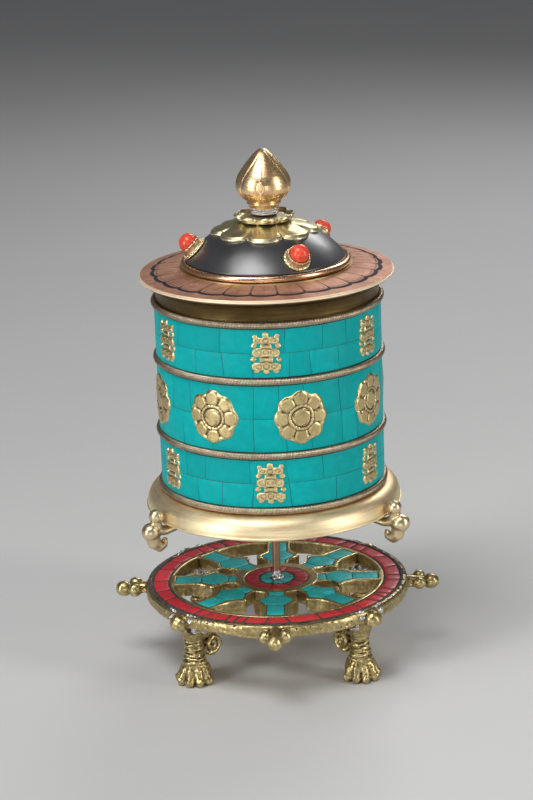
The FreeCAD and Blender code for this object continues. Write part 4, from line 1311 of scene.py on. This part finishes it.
def lotus_tier(name, phase, sphere, radius, notch, lift, curl, seed):
    """One tier of lotus petals: a smooth bell over the dome with puffy lobes and thick rolled lips."""
    s = np.concatenate([np.linspace(0.0, 0.8, 30), np.linspace(0.81, 1.0, 34)])
    ss, tt = np.meshgrid(s, circle(PETALS * 64), indexing="ij")
    lobe = ((tt - math.radians(phase)) * PETALS / TAU + 0.5) % 1.0 * 2 - 1
    drift = field(polar(20, tt, 0), 9, seed)
    outer = radius - notch * np.abs(lobe) ** 2.4 + drift * 0.22
    hole = NECK_RADIUS * 0.3
    r = hole + (outer - hole) * ss
    body = np.sqrt(np.clip(sphere ** 2 - r ** 2, 0, None)) + DOME_CENTRE
    puff = lift * (1 - lobe ** 2) ** 0.7 * smoothstep(ss, 0.45, 0.95)
    crease = -0.5 * np.exp(-((1 - np.abs(lobe)) / 0.12) ** 2) * smoothstep(ss, 0.72, 0.97)
    lip = curl * smoothstep(ss, 0.80, 1.0) * (1 - 0.45 * lobe ** 2)
    ridge = 0.28 * np.exp(-((ss - 0.955) / 0.03) ** 2)
    z = body + puff + crease + lip + ridge + drift * 0.12 * ss
    thick = 0.85 + 0.75 * smoothstep(ss, 0.80, 0.93)
    rounded = 0.45 * (1 - np.sqrt(np.clip(1 - smoothstep(ss, 0.93, 1.0) ** 2, 0, 1)))
    b = Build()
    slab(b, polar(r, tt, z - rounded),
         polar(r - 0.35 * smoothstep(ss, 0.88, 1.0), tt, z - thick + rounded * 0.6), True)
    obj = b.object(name)
    mark_cavities(obj, 12, 0.16)
    return obj


def lotus():
    lower = lotus_tier("lotus_lower_petals", -90 + 1, 39.7, 20.9, 2.9, 1.1, 0.15, 86)
    clip_heights(lower, low("lotus_lower").z, JEWEL_BOTTOM)
    dress(lower, LOTUS_BRASS, "lid", "sheet_brass", "lotus_lower")
    upper = lotus_tier("lotus_upper_petals", -90 + 7, 41.0, 11.8, 1.7, 0.3, 1.9, 87)
    # Darker towards the neck, inside the crown.
    darken(upper, 0.55 * (1 - smoothstep(reach(coordinates(upper)), 7.5, 9.5)))
    dress(upper, LOTUS_BRASS, "lid", "sheet_brass", "lotus_upper")


def neck():
    """Grey silver wire wound and beaded round the finial's neck, wider at its foot."""
    b = Build()
    core = NECK_RADIUS - 0.9
    turned(b, [(1.5, NECK_BOTTOM - 0.4), (core, NECK_BOTTOM - 0.4), (core - 0.2, JEWEL_BOTTOM),
               (1.5, JEWEL_BOTTOM)], 96)
    a = circle(720)
    for level, depth, turns in ((0.14, 0.45, 36), (0.48, 0.75, 34), (0.83, 0.65, 34)):
        z = NECK_BOTTOM + level * (JEWEL_BOTTOM - NECK_BOTTOM)
        for twist in (a * turns, a * turns + math.pi):
            tube(b, polar(NECK_RADIUS - depth + 0.24 * np.cos(twist), a, z + 0.24 * np.sin(twist)), 0.28, 6)
    obj = b.object("wound_neck")
    set_value(obj, "cavity_and_shade", np.clip((reach(coordinates(obj)) - NECK_RADIUS + 0.6) * 4, -1, 1))
    dress(obj, SILVER, "lid", "steel", "finial_neck")


def jewel():
    """Copper bud of overlapping petals: collar, round belly, drawn-in point and an almond leaf mark."""
    outline = np.array([
        (0, 5.6), (0.4, 5.7), (1.0, 6.0), (1.4, 6.5), (1.9, 6.6), (2.4, 6.2), (2.8, 6.8), (3.6, 8.0),
        (4.9, 9.4), (6.6, 10.4), (8.3, 10.7), (10.2, 10.6), (12.0, 10.0), (13.2, 9.4), (15.0, 8.2),
        (16.9, 6.8), (18.6, 5.4), (20.2, 4.0), (21.4, 2.8), (22.2, 1.8), (22.6, 1.1),
        (JEWEL_TIP - JEWEL_BOTTOM, 0.05)])
    tip = outline[-1, 0]
    fine = np.concatenate([np.linspace(0, 3, 26), np.linspace(3.1, tip, 120)])
    profile = np.interp(fine, *outline.T)
    kernel = np.array([1, 2, 3, 2, 1]) / 9
    profile[28:-3] = np.convolve(np.pad(profile, 2, mode="edge"), kernel, "valid")[28:-3]
    h, a = np.meshgrid(fine, circle(256), indexing="ij")

    def degrees_from(start):
        return (np.degrees(a) - start + 180) % 360 - 180

    r = np.repeat(profile[:, None], 256, 1)
    for start in (-84, 36, 156):
        lap = np.abs(degrees_from(start)) - 62 * np.clip(1 - (h / 22.9) ** 2.2, 0, 1) ** 0.5
        r -= 0.24 * np.exp(-(lap / 3.2) ** 2) * smoothstep(h, 3.2, 6.0) * (r > 1.0)
    off = degrees_from(-94)
    r += 0.10 * np.exp(-(off / 2.2) ** 2) * smoothstep(h, 10.5, 12.5) * (r > 0.8)
    almond = np.hypot(np.radians(off) * 10.0 / 1.15, (h - 9.0) / 2.3)
    r += np.where(almond < 1.25, 0.20 * np.exp(-((almond - 0.9) / 0.16) ** 2), 0)
    b = Build()
    slab(b, polar(np.minimum(1.55, r * 0.6), a, JEWEL_BOTTOM + np.minimum(h, tip - 0.2)),
         polar(r, a, JEWEL_BOTTOM + h), True)
    obj = b.object("copper_bud")
    mark_cavities(obj, 10, 0.10)
    dress(obj, JEWEL_COPPER, "lid", "copper_jewel", "finial_jewel")


def lid_details():
    dress_node("cornice", SHADED_DARK_BRONZE)
    top_plate()
    wire_ring()
    dome()
    set_stones()
    lotus()
    neck()
    jewel()
    dress_node("finial_stud", STEEL)
    dress_node("finial_nut", STEEL)


# ================================================================ stage
def floor():
    bpy.ops.mesh.primitive_plane_add(size=6)
    plane = bpy.context.object
    plane.name = "studio_floor"
    plane.data.materials.append(FLOOR)


def place_object(name, data):
    obj = bpy.data.objects.new(name, data)
    bpy.context.scene.collection.objects.link(obj)
    return obj


def area_light(name, place, target, size, power, colour=(1, 1, 1)):
    data = bpy.data.lights.new(name, "AREA")
    data.shape = "RECTANGLE"
    data.size, data.size_y = size
    data.energy = power
    data.color = colour
    lamp = place_object(name, data)
    lamp.location = place
    lamp.rotation_euler = (Vector(target) - Vector(place)).to_track_quat("-Z", "Y").to_euler()


def lights():
    centre = (0, 0, 0.12)
    area_light("key_above", (-0.25, -0.35, 1.05), centre, (0.6, 0.45), 6.0)
    area_light("front_left", (-0.9, -0.75, 0.42), centre, (0.3, 0.9), 6.8)
    area_light("right_strip", (0.95, -0.45, 0.40), centre, (0.2, 0.9), 5.0, (1.0, 0.97, 0.93))
    area_light("back_rim", (0.35, 0.95, 0.75), centre, (0.6, 0.3), 3.4)
    area_light("front_low", (0.1, -1.2, 0.16), (0, 0, 0.03), (0.8, 0.2), 1.6)
    world = bpy.data.worlds.new("studio")
    world.use_nodes = True
    world.node_tree.nodes["Background"].inputs["Color"].default_value = (0.42, 0.43, 0.45, 1)
    world.node_tree.nodes["Background"].inputs["Strength"].default_value = 0.22
    bpy.context.scene.world = world
    bpy.context.scene.view_settings.view_transform = "Standard"


def camera():
    """The photograph's viewing angle: looking 16.8 degrees down, from 1.6 degrees round to the right."""
    data = bpy.data.cameras.new("camera")
    data.lens = 115.4
    data.sensor_width = 36
    data.clip_start = 0.05
    data.clip_end = 20
    cam = place_object("camera", data)
    round_by, aim, up, roll = (math.radians(angle) for angle in (1.6, 1.7, 90 - 16.8, -2.03))
    distance = 0.9642
    cam.location = (distance * math.sin(round_by), -distance * math.cos(round_by), 0.3994 - DATUM.z * MM)
    level = Matrix.Rotation(aim, 4, "Z") @ Matrix.Rotation(up, 4, "X")
    cam.rotation_euler = (level @ Matrix.Rotation(roll, 4, "Z")).to_euler()
    bpy.context.scene.camera = cam


base_details()
drum_details()
lid_details()
floor()
lights()
camera()
